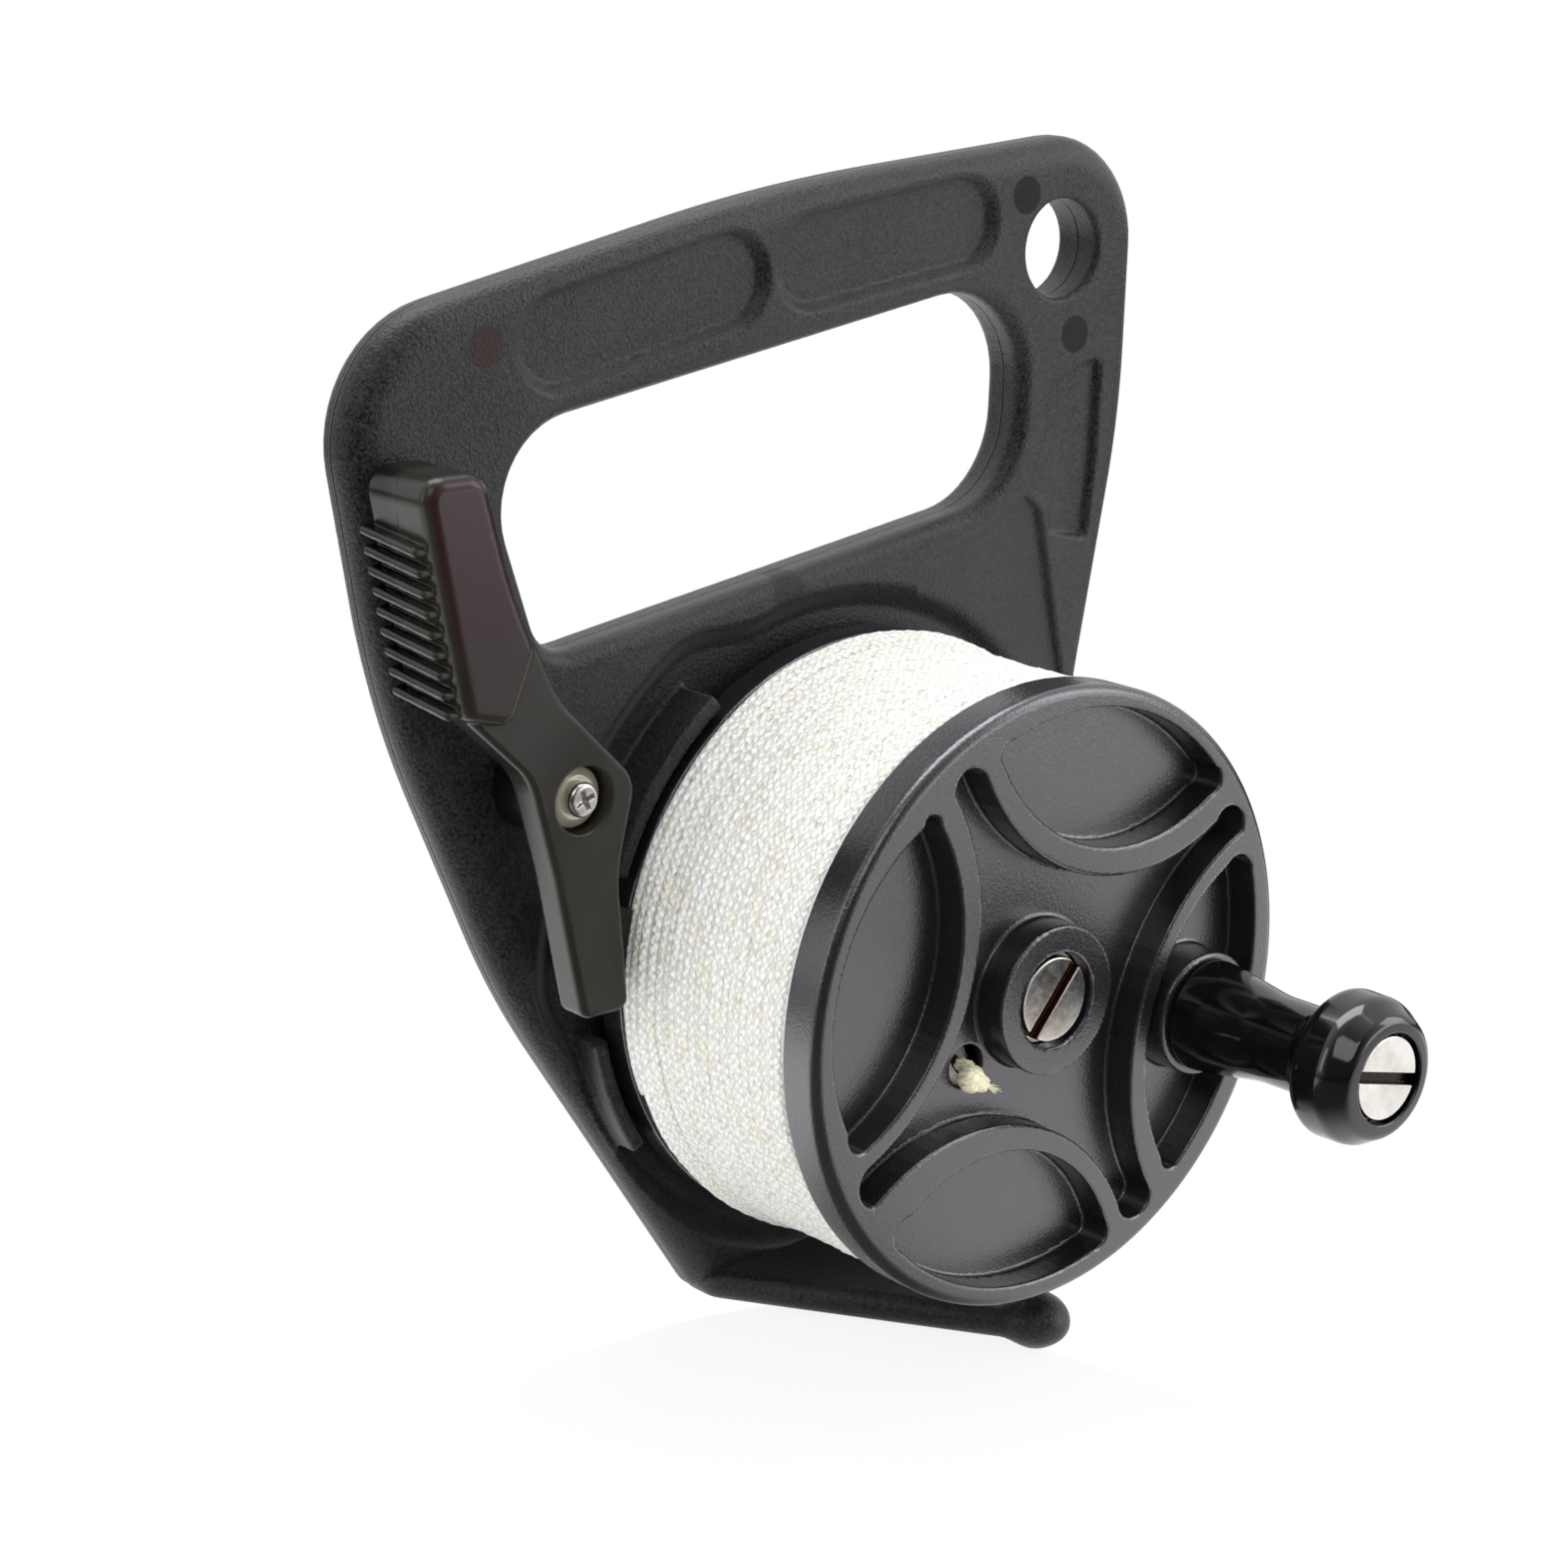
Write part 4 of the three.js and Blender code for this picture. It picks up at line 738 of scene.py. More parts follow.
def frame_field(x, y, z):
    """The plate is where its outline, less the grip opening, meets the layer from front to
    back, with round edges. The sunk floor rises to its face in a smooth step, wider at the
    left. The pockets and holes are cut from it, and the collar's two lengths stand on it."""
    radius = np.hypot(x, z)
    ring = GRIP_EDGE(x, z)
    plate = both((FRAME_EDGE(x, z) + 0.1) * 0.72, between(y, PLATE_FRONT, 0), PLATE_ROUNDING)
    plate = both(plate, -ring, GRIP_ROUNDING)
    turn = turn_about_axis(x, z)
    bay = smooth_step(turn, 106, 124) * smooth_step(turn, 196, 178)
    foot, brow = RECESS_RADIUS - 0.5 + 4.5 * bay, RECESS_RADIUS + 4.0 + 5.0 * bay
    rise = FLOOR_FRONT + (PLATE_FRONT - FLOOR_FRONT) * smooth_step(radius, foot, brow)
    plate = np.maximum(plate, (rise - y) * 0.9)
    for start, end, front, edge, fillet in COLLAR_LENGTHS:
        wall = arc_band(x, z, COLLAR_INNER, COLLAR_OUTER, start, end)
        plate = joined(plate, both(wall, between(y, front, COLLAR_FOOT), edge), fillet)
    for start, end in np.array(STADIUMS) * FLANGE_RADIUS:
        off = slot_distance(start, end, x, z) - STADIUM_RADIUS
        dish = (off + (y - PLATE_FRONT) * 0.9) * 0.743
        plate = cut(plate, both(dish, y - STADIUM_FLOOR, 0.2), 0.45)
    # Each leg pocket's floor deepens away from the grip opening, and again to the right.
    corner = np.maximum(CORNER_EDGE(x, z), RECESS_RADIUS + 1.0 - radius)
    for edge, border, left, right, deeper in (
            (STRIP_EDGE(x, z), 6.0, 42.0, 48.5, 0.75), (corner, 4.6, 24.0, 36.0, 0.5)):
        depth = POCKET_STEP * smooth_step(ring, border, border + 2.5)
        floor = PLATE_FRONT + depth + deeper * smooth_step(x, left, right)
        plate = cut(plate, both(edge, y - floor, 0.5), POCKET_MOUTH)
    plate = cut(plate, off_line(LANYARD, x, z) - LANYARD_RADIUS, LANYARD_MOUTH)
    plate = joined(plate, both(radius - BOSS_RADIUS, between(y, BOSS_FRONT, -3.0), 0.3), 0.4)
    plate = cut(plate, radius - BOLT_HOLE_RADIUS, 0.3)
    plate = cut(plate, np.maximum(radius - NUT_ROOM_RADIUS, NUT_ROOM_FRONT - y), 0.5)
    pivot = off_line(LEVER_PIVOT, x, z) - PIVOT_HOLE_RADIUS
    return cut(plate, np.maximum(pivot, y - PIVOT_HOLE_BACK), 0.3)


def tongue_field(x, y, z):
    """A tapered blade, drawn in X and Y, with rounded edges, joined to the bead at its tip."""
    blade = both(TONGUE_EDGE(x, y), between(z, TONGUE_TOP - TONGUE_THICKNESS, TONGUE_TOP), 2.0)
    middle = (*BEAD_PLACE, TONGUE_TOP - TONGUE_THICKNESS / 2)
    return joined(blade, ball(middle, BEAD_RADIUS, x, y, z), 1.5)


MARK_BLACK, MARK_BROWN = (0.003, 0.003, 0.0032), (0.035, 0.010, 0.009)
MARK_LOOKS = [(MARK_BLACK, 0.85), (MARK_BLACK, 0.85), (MARK_BROWN, 0.6), (MARK_BLACK, 0.35)]
mark_moulding(FRAME_NYLON, [
    (place * FLANGE_RADIUS, *look) for place, look in zip(EJECTOR_MARKS, MARK_LOOKS)])


def make_frame():
    look = ("frame", "frame_nylon", FRAME_NYLON, ["handle_frame"])
    moulded("frame_plate", frame_field, (-83, -13.2, -53), (60, 0.2, 110), 0.58 * COARSE, *look)
    moulded("guide_tongue", tongue_field, (-25.5, -51.5, -55), (22, 0.2, -45), 0.42 * COARSE, *look)


# Spool

# Every other point of a pocket's edge is a corner, and the one after it lies on the arc to the
# next corner.
STAR_SHARES = [
    (0.828, 0.386), (0.365, -0.163), (0.451, -0.763), (0.386, -0.835), (0.307, -0.772),
    (-0.093, -0.393), (-0.758, -0.484), (-0.812, -0.433), (-0.777, -0.353), (-0.363, 0.116),
    (-0.442, 0.753), (-0.386, 0.819), (-0.319, 0.784), (0.058, 0.407), (0.712, 0.442),
    (0.798, 0.474),
]
LENS_SHARES = [
    [(0.693, 0.628), (0.407, 0.847), (-0.2, 0.877), (-0.247, 0.856), (-0.24, 0.8),
     (0.128, 0.479), (0.679, 0.54), (0.719, 0.572)],
    [(-0.565, 0.672), (-0.898, 0.256), (-0.86, -0.223), (-0.849, -0.274), (-0.795, -0.293),
     (-0.419, 0.186), (-0.505, 0.67), (-0.528, 0.705)],
    [(-0.642, -0.663), (-0.221, -0.905), (0.2, -0.898), (0.251, -0.865), (0.247, -0.814),
     (-0.093, -0.479), (-0.605, -0.558), (-0.67, -0.605)],
    [(0.572, -0.702), (0.895, -0.116), (0.881, 0.247), (0.84, 0.302), (0.777, 0.284),
     (0.428, -0.186), (0.502, -0.66), (0.533, -0.707)],
]
HUB_RADIUS, HUB_HOLE_RADIUS, HUB_HOLE_FLOOR = 10.4, 6.65, -49.0
KNOB_BOSS_RADIUS, KNOB_HOLE_RADIUS = 8.8, 2.8
KNOB_NUT_RADIUS, KNOB_NUT_FRONT = 5.1, -50.2
LINE_HOLE_RADIUS = 2.9
BORE_RADIUS, TUBE_RADIUS = 5.2, 8.0


def arc_outline(shares, steps=20):
    """A closed outline of arcs that share their ends: each runs from one point through the
    next to the one after that."""
    points = np.array(shares) * FLANGE_RADIUS
    count = len(points)
    arcs = [arc_line(points[i], points[i + 1], points[(i + 2) % count], steps)[:-1]
            for i in range(0, count, 2)]
    return np.concatenate(arcs)


POCKET_EDGES = [outline_reader(arc_outline(shares)) for shares in [STAR_SHARES] + LENS_SHARES]


def front_flange_field(x, y, z):
    """A disc with a round rim. The star pocket and the lens pockets are cut into its face. The
    hub stands in the star, and the knob's boss in the right lens."""
    radius = np.hypot(x, z)
    off = off_line(KNOB_PLACE, x, z)
    disc = both(both(radius - FLANGE_RADIUS, RIM_FRONT - y, 1.4), y - FRONT_FLANGE_BACK, 0.4)
    for edge in POCKET_EDGES:
        disc = cut(disc, both(edge(x, z), y - POCKET_FLOOR, 0.35), 0.45)
    disc = joined(disc, both(radius - HUB_RADIUS, between(y, RIM_FRONT, -47.0), 0.25), 0.6)
    disc = joined(disc, both(off - KNOB_BOSS_RADIUS, between(y, KNOB_SEAT, -47.0), 0.5), 0.6)
    disc = cut(disc, np.maximum(radius - HUB_HOLE_RADIUS, y - HUB_HOLE_FLOOR), 0.2)
    disc = cut(disc, off_line(LINE_HOLE, x, z) - LINE_HOLE_RADIUS, 0.4)
    disc = np.maximum(disc, KNOB_HOLE_RADIUS - off)
    disc = np.maximum(disc, -np.maximum(off - KNOB_NUT_RADIUS, KNOB_NUT_FRONT - y))
    return np.maximum(disc, BORE_RADIUS - radius)


def make_spool():
    look = ("spool", "spool_nylon", SPOOL_NYLON)
    moulded("front_flange_face", front_flange_field, (-43.2, -54.4, -43.2), (43.2, -46.4, 43.2),
            0.42 * COARSE, *look, ["front_flange"])
    front, rear = FRONT_FLANGE_BACK - 0.2, TUBE_SPLIT + SEAT_GAP
    turned("front_flange_tube", [
        (BORE_RADIUS, TUBE_SPLIT, 0.1), (TUBE_RADIUS, TUBE_SPLIT, 0.1), (TUBE_RADIUS, front, 0.0),
        (BORE_RADIUS, front, 0.0)], 64, *look, ["front_flange"])
    turned("rear_flange_disc", [
        (BORE_RADIUS, rear, 0.1), (TUBE_RADIUS, rear, 0.1), (TUBE_RADIUS, REAR_FLANGE_FRONT, 0.1),
        (FLANGE_RADIUS, REAR_FLANGE_FRONT, 0.5), (FLANGE_RADIUS, REAR_FLANGE_BACK - 1.0, 0.7),
        (FLANGE_RADIUS - 1.0, REAR_FLANGE_BACK, 0.7), (BORE_RADIUS, REAR_FLANGE_BACK, 0.1)],
        160, *look, ["rear_flange"])


# Line

LINE_TURNS = 23
LINE_OUTSIDE = 42.4
LINE_THICKNESS = 1.76
LINE_SIDES = 8
WINDING_FRONT, WINDING_BACK = -45.65, -14.30
CORE_INSIDE, CORE_OUTSIDE = 15.1, 41.7
CORE_FRONT, CORE_BACK = -46.3, -13.7
FIBRES = 16


def line_path(steps_per_turn):
    """The winding's centre line: x = r cos a, z = r sin a, with y moving one pitch a turn.
    Slow waves in r and y make the turns lie unevenly, and the last turns lie higher."""
    a = np.linspace(0, LINE_TURNS * 2 * math.pi, LINE_TURNS * steps_per_turn + 1) + math.radians(200)
    turn = (a - a[0]) / (2 * math.pi)
    r = LINE_OUTSIDE - LINE_THICKNESS / 2 - 0.16
    r = r + 0.10 * np.sin(2.7 * a + 1.3) * np.sin(0.31 * a) + 0.08 * np.sin(turn * 2.4 * math.pi)
    r = r + 0.07 * np.sin(7.3 * a + 0.4) * np.sin(0.83 * a) + 0.05 * np.sin(17.9 * a)
    r = r + 1.1 * smooth_step(turn, LINE_TURNS - 5.0, LINE_TURNS - 1.5)
    y = WINDING_FRONT + (WINDING_BACK - WINDING_FRONT) * turn / LINE_TURNS
    y = y + 0.13 * np.sin(1.37 * a) + 0.08 * np.sin(3.11 * a + 0.6) + 0.03 * np.sin(9.7 * a)
    y = np.clip(y, WINDING_FRONT, WINDING_BACK)
    return np.stack([r * np.cos(a), y, r * np.sin(a)], 1), a


def make_line():
    """The turns are one tube that swells and narrows in two waves along it. Its UV map runs
    along the line in millimetres and half a turn each way round it."""
    path, a = line_path(400)
    around = np.linspace(0, 2 * math.pi, LINE_SIDES, endpoint=False)
    length = ((a - a[0]) * LINE_OUTSIDE)[:, None]
    swell = 0.05 * np.sin(2 * math.pi * length / 2.9) * np.cos(2 * around)
    swell = swell + 0.035 * np.sin(2 * math.pi * length / 1.37 + 3 * around)
    points, faces = swept_tube(path, LINE_THICKNESS / 2, LINE_SIDES, np.array([0, 1.0, 0]), swell)
    uv = np.stack(np.broadcast_arrays(length, around / (2 * math.pi)), 2)
    uv = np.abs(uv - (0, 0.5))
    last = len(points) - 1
    caps = [list(range(LINE_SIDES)), list(range(last, last - LINE_SIDES, -1))]
    look = ("spool", "line_braid", LINE_BRAID)
    make_piece("line_turns", points, faces.tolist() + caps, *look, ["line_outer_layer"],
               uv=uv.reshape(-1, 2))
    turned("line_under_turns", [
        (CORE_INSIDE, CORE_FRONT, 0.2), (CORE_OUTSIDE, CORE_FRONT, 0.2),
        (CORE_OUTSIDE, CORE_BACK, 0.2), (CORE_INSIDE, CORE_BACK, 0.2)], 160, *look, ["line_core"])


def knot_field(x, y, z):
    """Three lumps of knotted line on a stem, ringed by the strands that make them."""
    x, z = x - LINE_HOLE[0], z - LINE_HOLE[1]
    lumps = ball((-0.5, -49.7, -1.2), 1.85, x, y, z)
    for middle, radius in (((0.6, -50.4, -1.9), 1.2), ((-1.1, -50.4, -0.4), 1.0)):
        lumps = joined(lumps, ball(middle, radius, x, y, z), 0.3)
    stem = np.maximum(np.hypot(x, z) - 0.9, between(y, -48.75, -46.9))
    strands = 0.10 * np.sin(5.2 * (x + z) + 3.0 * y) + 0.06 * np.sin(7.1 * (x - z))
    return joined(lumps, stem, 0.2) + strands


def make_knot():
    """The knot, and the fine loose fibres that spread from its lower end."""
    look = ("spool", "knot_braid", KNOT_BRAID, ["line_end_knot"])
    x, z = LINE_HOLE
    moulded("line_end_knot_braid", knot_field, (x - 2.8, -52.0, z - 3.6), (x + 2.8, -46.6, z + 2.4),
            0.16 * COARSE, *look)
    t = np.linspace(0, 1, 9)
    fibres, rings = [], []
    for i in range(FIBRES):
        spread = 2 * math.pi * i / FIBRES
        reach = 1.7 + 0.8 * math.sin(3.1 * i)
        fall = reach * (0.55 + 0.25 * math.sin(2.3 * i))
        path = np.stack([
            x + 1.1 + t * reach + 0.25 * math.cos(spread) * t,
            -50.7 - 0.5 * t + 0.45 * math.sin(spread * 2) * t ** 2,
            z - 2.2 - t * fall + 0.3 * t * math.sin(spread)], 1)
        points, faces = swept_tube(path, 0.085 * (1 - 0.6 * t)[:, None], 5, np.array([0.1, 1.0, 0.2]))
        rings.append(faces + i * len(points))
        fibres.append(points)
    make_piece("line_end_fray", np.concatenate(fibres), np.concatenate(rings).tolist(), *look)


# Fasteners

AXLE_HEAD_FRONT, AXLE_HEAD_BACK = -52.5, -50.6
KNOB_BASE, KNOB_END = -55.7, -87.2


def slotted_field(place, radius, front, back, slot_width, degrees, shank):
    """A round head with a bevelled edge and a straight slot, on a shank."""
    turn = math.radians(degrees)

    def field(x, y, z):
        x, z = x - place[0], z - place[1]
        ring = np.hypot(x, z)
        head = both(ring - radius, between(y, front, back), 0.28)
        across = -x * math.sin(turn) + z * math.cos(turn)
        slot = np.maximum(np.abs(across) - slot_width / 2, y - front - 1.2)
        stem = np.maximum(ring - shank, between(y, back - 0.5, back + 1.5))
        return np.minimum(cut(head, slot, 0.12), stem)
    return field


def turned_shank(name, radius, front, back, rounding, sides, *look, place=(0, 0)):
    """A plain round shank from front to back, with its back edge rounded."""
    turned(name, [(0.01, front, 0), (radius, front, 0.1), (radius, back, rounding), (0.01, back, 0)],
           sides, *look, place=place)


def make_fasteners():
    front, back = AXLE_HEAD_FRONT, AXLE_HEAD_BACK
    moulded("axle_bolt_head", slotted_field((0, 0), 5.9, front, back, 1.8, 48, 3.0),
            (-6.2, front - 0.2, -6.2), (6.2, back + 1.7, 6.2), 0.17 * COARSE,
            "frame", "nickel", AXLE_NICKEL, ["axle_bolt"])
    turned_shank("axle_bolt_shank", 3.0, -49.5, 4.7, 0.5, 48, "frame", "nickel", NICKEL, ["axle_bolt"])
    x, z = KNOB_PLACE
    head = slotted_field(KNOB_PLACE, 5.85, KNOB_END + 0.45, KNOB_END + 2.4, 1.6, -15, 2.5)
    moulded("knob_screw_head", head, (x - 6.2, KNOB_END, z - 6.2), (x + 6.2, KNOB_END + 4.2, z + 6.2),
            0.17 * COARSE, "spool", "nickel", KNOB_NICKEL, ["knob_screw"])
    turned_shank("knob_screw_shank", 2.5, KNOB_END + 3.8, -46.9, 0.3, 40,
                 "spool", "nickel", NICKEL, ["knob_screw"], place=KNOB_PLACE)


def make_knob():
    """The knob is turned: a foot, a waist, and a round end that holds the screw's head."""
    base, end = KNOB_BASE, KNOB_END
    profile = [
        (4.1, base, 0.1), (6.8, base, 0.05), (6.8, base + 1.2, 0.05), (8.0, base + 1.2, 0.5),
        (7.5, base - 3.0, 3.0), (6.2, base - 11.0, 20.0), (6.2, end + 12.4, 1.6),
        (7.4, end + 11.0, 1.0), (10.45, end + 8.6, 2.4), (10.3, end + 3.6, 3.6),
        (8.3, end + 0.2, 1.6), (6.35, end, 0.25), (6.35, end + 2.7, 0.2), (4.1, end + 2.7, 0.2),
    ]
    turned("knob_turned", profile, 96, "knob", "knob_gloss", KNOB_GLOSS, ["knob_grip"],
           place=KNOB_PLACE, steps=9)
    front, back = -55.4, -54.5
    turned("knob_washer_ring", [(4.1, front, 0.1), (6.4, front, 0.2), (6.4, back, 0.2), (4.1, back, 0.1)],
           64, "spool", "acetal", ACETAL, ["knob_washer"], place=KNOB_PLACE)


# Lever

GRIP_FRONT, ARM_FRONT, ARM_BACK, LEVER_BACK = -22.5, -20.5, -15.0, -8.7
LEVER_HUB_RADIUS, LEVER_HUB_FRONT = 6.2, -19.7
LEVER_POCKET_RADIUS, LEVER_POCKET_FLOOR = 4.5, -17.5
LEVER_BORE_RADIUS, SPRING_ROOM_RADIUS = 3.3, 5.6
GRIP_BARS = 9
SCREW_RADIUS, SCREW_FRONT, SCREW_BACK = 2.35, -20.7, -19.0

LEVER_GRIP_EDGE = rounded_reader(LEVER_GRIP_SHARES)
LEVER_ARM_EDGE = rounded_reader(LEVER_ARM_SHARES)


def lever_field(x, y, z):
    """The deep thumb grip and the flat lower arm share a round hub; bars stand across the
    grip's left side, and the pivot's washer sits in a round pocket."""
    grip = both(LEVER_GRIP_EDGE(x, z), between(y, GRIP_FRONT, LEVER_BACK), 1.9)
    arm = both(LEVER_ARM_EDGE(x, z), between(y, ARM_FRONT, ARM_BACK), 1.0)
    off = off_line(LEVER_PIVOT, x, z)
    hub = both(off - LEVER_HUB_RADIUS, between(y, LEVER_HUB_FRONT, LEVER_BACK), 0.4)
    lever = joined(joined(grip, arm, 0.4), hub, 0.4)
    high, low = (np.array(LEVER_GRIP_SHARES[i][:2]) * FLANGE_RADIUS for i in (0, 2))
    for share in 0.04 + 0.68 * np.linspace(0, 1, GRIP_BARS):
        middle = low + (high - low) * share
        across = np.abs(x - middle[0] + 0.3) - 1.0
        up = np.abs(z - middle[1] + 0.5 - (y + 21) * 0.1) - 0.05
        along = between(y, GRIP_FRONT + 2.2, LEVER_BACK - 0.6)
        bar = np.sqrt(np.maximum(across, 0) ** 2 + np.maximum(up, 0) ** 2 + np.maximum(along, 0) ** 2)
        lever = joined(lever, bar - 0.6, 0.2)
    lever = cut(lever, np.maximum(off - LEVER_POCKET_RADIUS, y - LEVER_POCKET_FLOOR), 0.3)
    lever = np.maximum(lever, -(off - LEVER_BORE_RADIUS))
    room = np.maximum(between(off, 3.0, SPRING_ROOM_RADIUS), ARM_BACK - y)
    return np.maximum(lever, -room)


def cross_screw_field(x, y, z):
    """A small pan head with a cross cut in it, on the start of its shank."""
    x, z = x - LEVER_PIVOT[0], z - LEVER_PIVOT[1]
    ring = np.hypot(x, z)
    head = both(ring - SCREW_RADIUS, between(y, SCREW_FRONT, SCREW_BACK), 0.7)
    turn = 0.35
    a, b = x * math.cos(turn) + z * math.sin(turn), z * math.cos(turn) - x * math.sin(turn)
    depth = y - SCREW_FRONT - 1.0 + 0.35 * ring
    for one, other in ((a, b), (b, a)):
        head = cut(head, np.maximum(np.maximum(np.abs(one) - 0.33, np.abs(other) - 1.4), depth), 0.1)
    return np.minimum(head, np.maximum(ring - 1.5, between(y, SCREW_BACK - 0.4, SCREW_BACK + 1.0)))


def make_lever():
    moulded("lever_moulding", lever_field, (-81.5, -22.8, 0.4), (-44.5, -8.4, 77.0), 0.40 * COARSE,
            "lever", "lever_nylon", LEVER_NYLON, ["thumb_lever"])
    x, z = LEVER_PIVOT
    look = ("frame", "nickel", NICKEL, ["lever_screw"])
    moulded("lever_screw_head", cross_screw_field, (x - 3, -21.6, z - 3), (x + 3, -18.4, z + 3),
            0.11 * COARSE, *look)
    turned_shank("lever_screw_shank", 1.5, -18.6, -2.4, 0.3, 24, *look, place=LEVER_PIVOT)
    turned("lever_washer_ring", [
        (1.8, -18.9, 0.1), (2.9, -18.9, 0.3), (4.1, -18.1, 0.15), (4.1, -17.6, 0.15),
        (1.8, -17.6, 0.1)], 48, "frame", "acetal", LEVER_WASHER, ["lever_washer"], place=LEVER_PIVOT)


# Carried-over nodes

NODE_FINISHES = {
    "front_washer": NICKEL, "axle_sleeve": STEEL, "thrust_washer": ACETAL, "nut_washer": STEEL,
    "axle_nut": STEEL, "spool_barrel": SPOOL_NYLON, "flange_screw_1": STEEL, "flange_screw_2": STEEL,
    "flange_screw_3": STEEL, "knob_bush": BRASS, "knob_nut": BRASS, "brake_pad": RUBBER,
    "lever_bush": STEEL, "lever_spring": STEEL,
}


def finish_nodes():
    """The CAD model's own pieces that show get their materials and nothing else."""
    for node, material in NODE_FINISHES.items():
        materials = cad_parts[node].data.materials
        materials.clear()
        materials.append(material)


# Studio

CAMERA_PLACE = np.array([-309.1, -358.6, 187.2])
CAMERA_BACK = np.array([-0.6232, -0.7297, 0.2814])
LENS = 78.93
FLOOR_HEIGHT, FLOOR_REACH = -23.6 * MM, 6
TARGET = (0.0, -0.03, 0.04)
# Each lamp: its place, what it faces, its two sides and its power.
LAMPS = {
    "key_softbox": ((-0.75, -0.75, 0.95), TARGET, (0.7, 0.7), 2.8),
    "side_softbox": ((-1.1, 0.1, 0.45), TARGET, (0.25, 0.7), 1.0),
    "right_softbox": ((0.9, -0.7, 0.6), TARGET, (0.6, 0.8), 4.0),
    "top_softbox": ((0.1, 0.15, 1.1), TARGET, (0.9, 0.6), 8.0),
    "low_softbox": ((0.30, -0.40, 0.02), (0.0, -0.04, 0.03), (0.30, 0.16), 0.35),
}
# What mirrors in the object on the floor, each towards a direction from the axis: between two
# cosines of the angle off it, the light changes to a level.
FLOOR_LOBES = [
    ((-0.649, -0.760, 0.0), 0.55, 0.90, 0.10), ((0.990, 0.139, 0.0), 0.90, 0.97, 0.3),
    ((0.857, -0.515, 0.0), 0.960, 0.990, 1.6),
]


def stand(name, data, place, back):
    """A camera or lamp at a place, level with the horizon, that looks away from back."""
    back = np.divide(back, np.linalg.norm(back))
    right = np.cross((0, 0, 1), back)
    right /= np.linalg.norm(right)
    matrix = np.eye(4)
    matrix[:3] = np.stack([right, np.cross(back, right), back, place], 1)
    thing = bpy.data.objects.new(name, data)
    thing.matrix_world = Matrix(matrix.tolist())
    bpy.context.scene.collection.objects.link(thing)
    return thing


def make_camera():
    """The camera stands where the photograph was taken."""
    data = bpy.data.cameras.new("photograph_view")
    data.lens = LENS
    data.sensor_width = 36.0
    data.clip_start = 0.01
    bpy.context.scene.camera = stand("photograph_view", data, CAMERA_PLACE * MM, CAMERA_BACK)


def make_lamps():
    for name, (place, target, size, power) in LAMPS.items():
        data = bpy.data.lights.new(name, "AREA")
        data.shape = "RECTANGLE"
        data.size, data.size_y = size
        data.energy = power
        stand(name, data, place, np.subtract(place, target))


def make_surround():
    """The world is white to the camera, and even light to the object. What mirrors in the
    object is dimmer from the camera's side."""
    world = bpy.data.worlds.new("studio")
    bpy.context.scene.world = world
    world.use_nodes = True
    tree = world.node_tree
    tree.nodes.clear()

    def background(strength):
        lit = add(tree, "ShaderNodeBackground", {"Strength": strength, "Color": (1.0, 1.0, 1.0, 1)})
        return lit.outputs[0]
    rays = add(tree, "ShaderNodeLightPath").outputs
    seen = arithmetic(tree, "ADD", rays["Is Camera Ray"], rays["Is Transmission Ray"], clamp=True)
    way = add(tree, "ShaderNodeTexCoord").outputs["Generated"]
    toward = vector(tree, "DOT_PRODUCT", way, CAMERA_BACK, output="Value")
    mirrored = background(ranged(tree, toward, 0.25, 0.85, 1.0, 0.06, "LINEAR"))
    lit = add(tree, "ShaderNodeMixShader", {0: rays["Is Glossy Ray"], 1: background(0.88), 2: mirrored})
    mix = add(tree, "ShaderNodeMixShader", {0: seen, 1: lit.outputs[0], 2: background(1.0)})
    add(tree, "ShaderNodeOutputWorld", {"Surface": mix.outputs[0]})


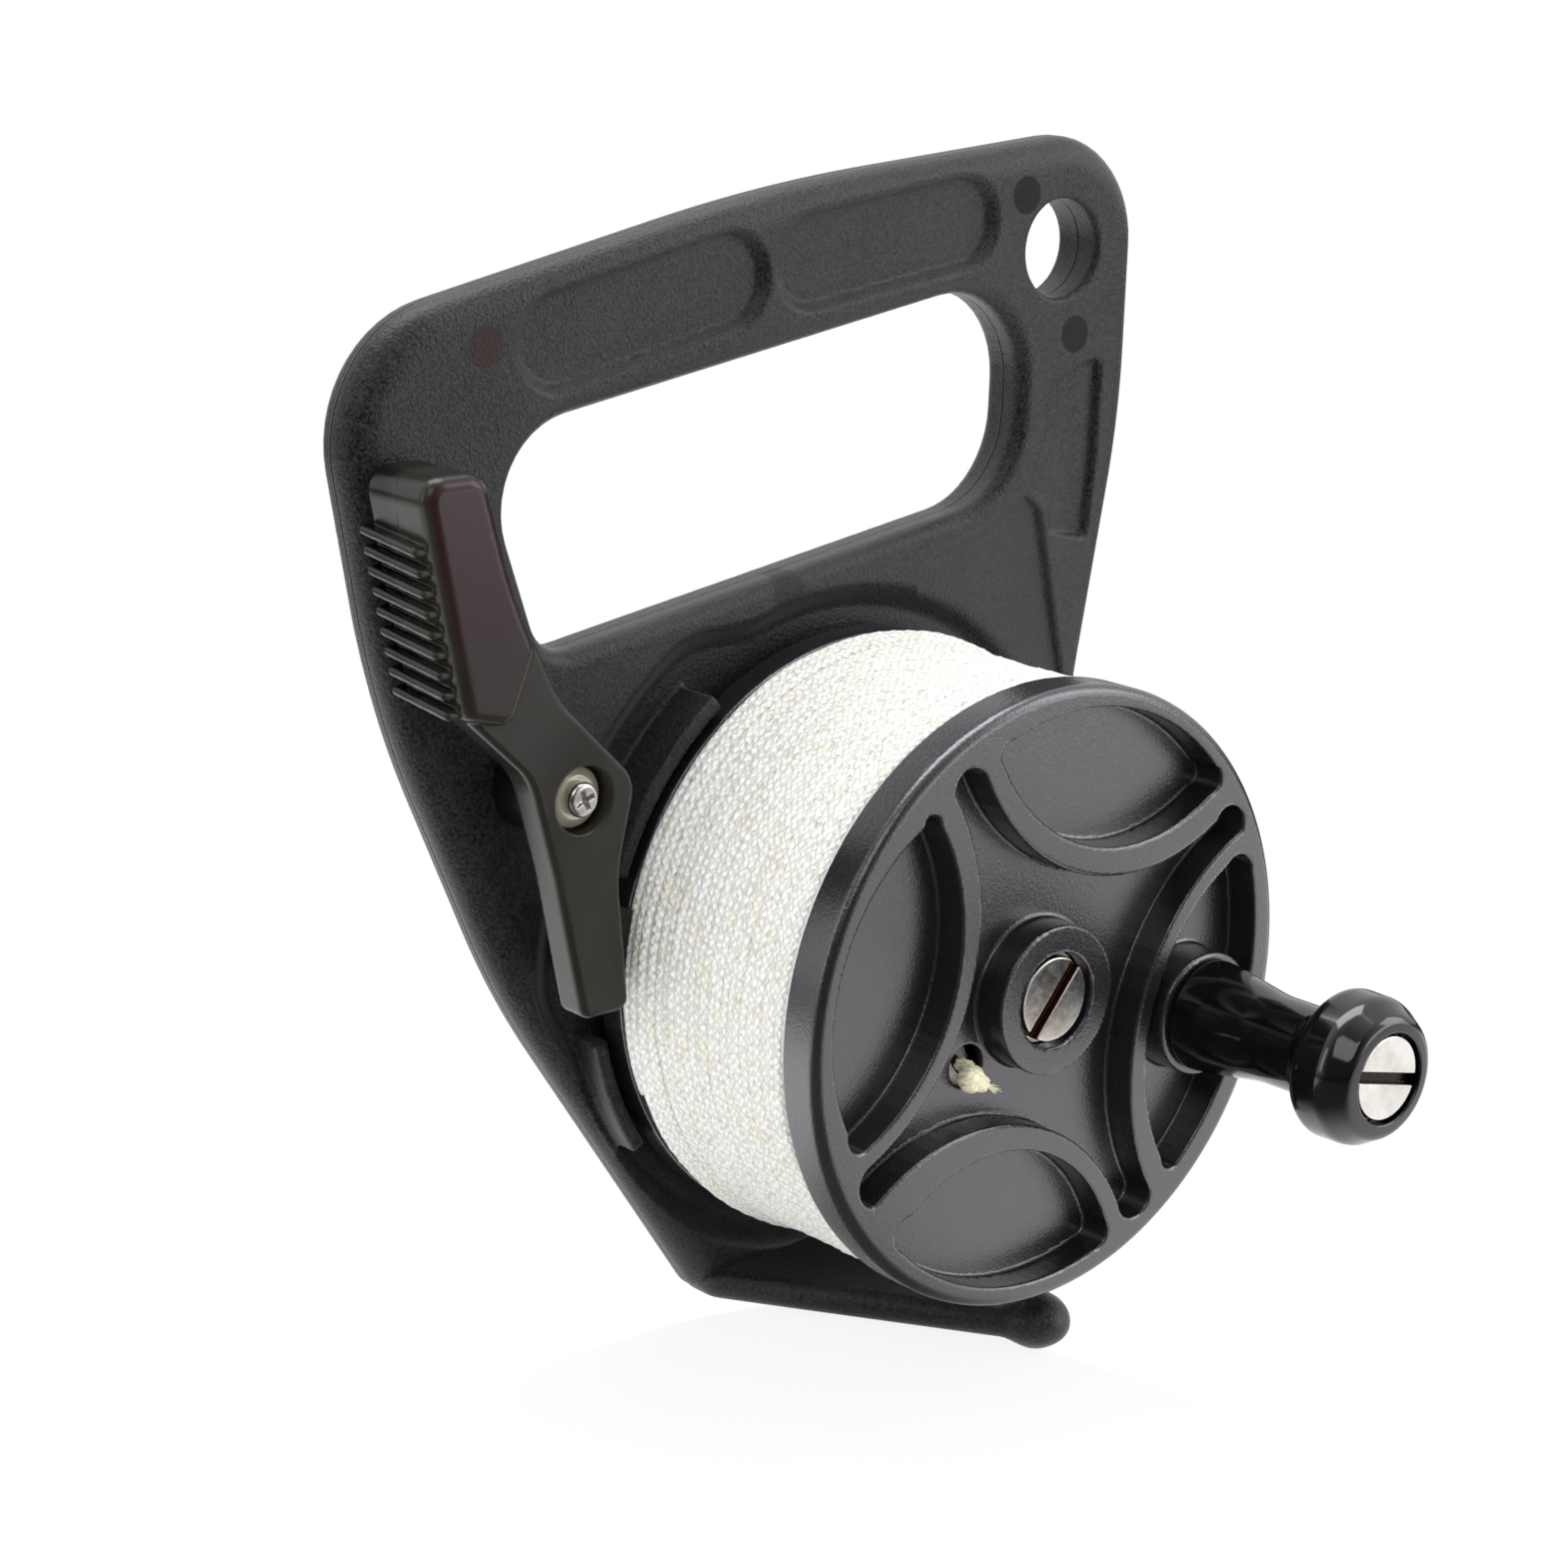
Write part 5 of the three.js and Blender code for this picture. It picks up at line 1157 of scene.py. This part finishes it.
def floor_material():
    """Pale paper that fades to white away from the object. Where it mirrors in the object it
    glows instead: brighter close by and behind, darker far off, and changed in each lobe."""
    material = bpy.data.materials.new("studio_floor_paper")
    material.use_nodes = True
    tree = material.node_tree
    shader = tree.nodes["Principled BSDF"]
    feed(tree, shader, {"Base Color": (0.86, 0.86, 0.86, 1), "Roughness": 0.9})
    rays = add(tree, "ShaderNodeLightPath").outputs
    spot = add(tree, "ShaderNodeTexCoord").outputs["Object"]
    reach = vector(tree, "LENGTH", spot, output="Value")
    share = product(tree, rays["Is Camera Ray"], ranged(tree, reach, 0.10, 0.40, 0.88, 1.0))
    share = arithmetic(tree, "MAXIMUM", share, rays["Is Glossy Ray"])
    ahead = vector(tree, "DOT_PRODUCT", spot, (0.65, -0.76, 0.0), output="Value")
    bright = product(
        tree, ranged(tree, ahead, -0.15, 0.05, 1.5, 1.0), ranged(tree, reach, 0.12, 0.30, 1.25, 1.0),
        ranged(tree, reach, 0.33, 0.50, 1.0, 0.15))
    way = vector(tree, "NORMALIZE", spot)
    for axis, edge, core, level in FLOOR_LOBES:
        toward = vector(tree, "DOT_PRODUCT", way, axis, output="Value")
        bright = product(tree, bright, ranged(tree, toward, edge, core, 1.0, level))
    plain = arithmetic(tree, "SUBTRACT", 1.0, rays["Is Glossy Ray"])
    glow = add(tree, "ShaderNodeEmission", {
        "Color": (1, 1, 1, 1), "Strength": arithmetic(tree, "MAXIMUM", bright, plain)})
    mix = add(tree, "ShaderNodeMixShader", {0: share, 1: shader.outputs[0], 2: glow.outputs[0]})
    tree.links.new(mix.outputs[0], tree.nodes["Material Output"].inputs["Surface"])
    return material


def make_floor():
    mesh = bpy.data.meshes.new("studio_floor")
    corners = [(-1, -1), (1, -1), (1, 1), (-1, 1)]
    mesh.from_pydata(
        [(x * FLOOR_REACH, y * FLOOR_REACH, FLOOR_HEIGHT) for x, y in corners], [], [(0, 1, 2, 3)])
    mesh.materials.append(floor_material())
    floor = bpy.data.objects.new("studio_floor", mesh)
    bpy.context.scene.collection.objects.link(floor)


make_frame()
make_spool()
make_line()
make_knot()
make_fasteners()
make_knob()
make_lever()
finish_nodes()
make_camera()
make_surround()
make_floor()
make_lamps()
bpy.context.scene.view_settings.view_transform = "Standard"
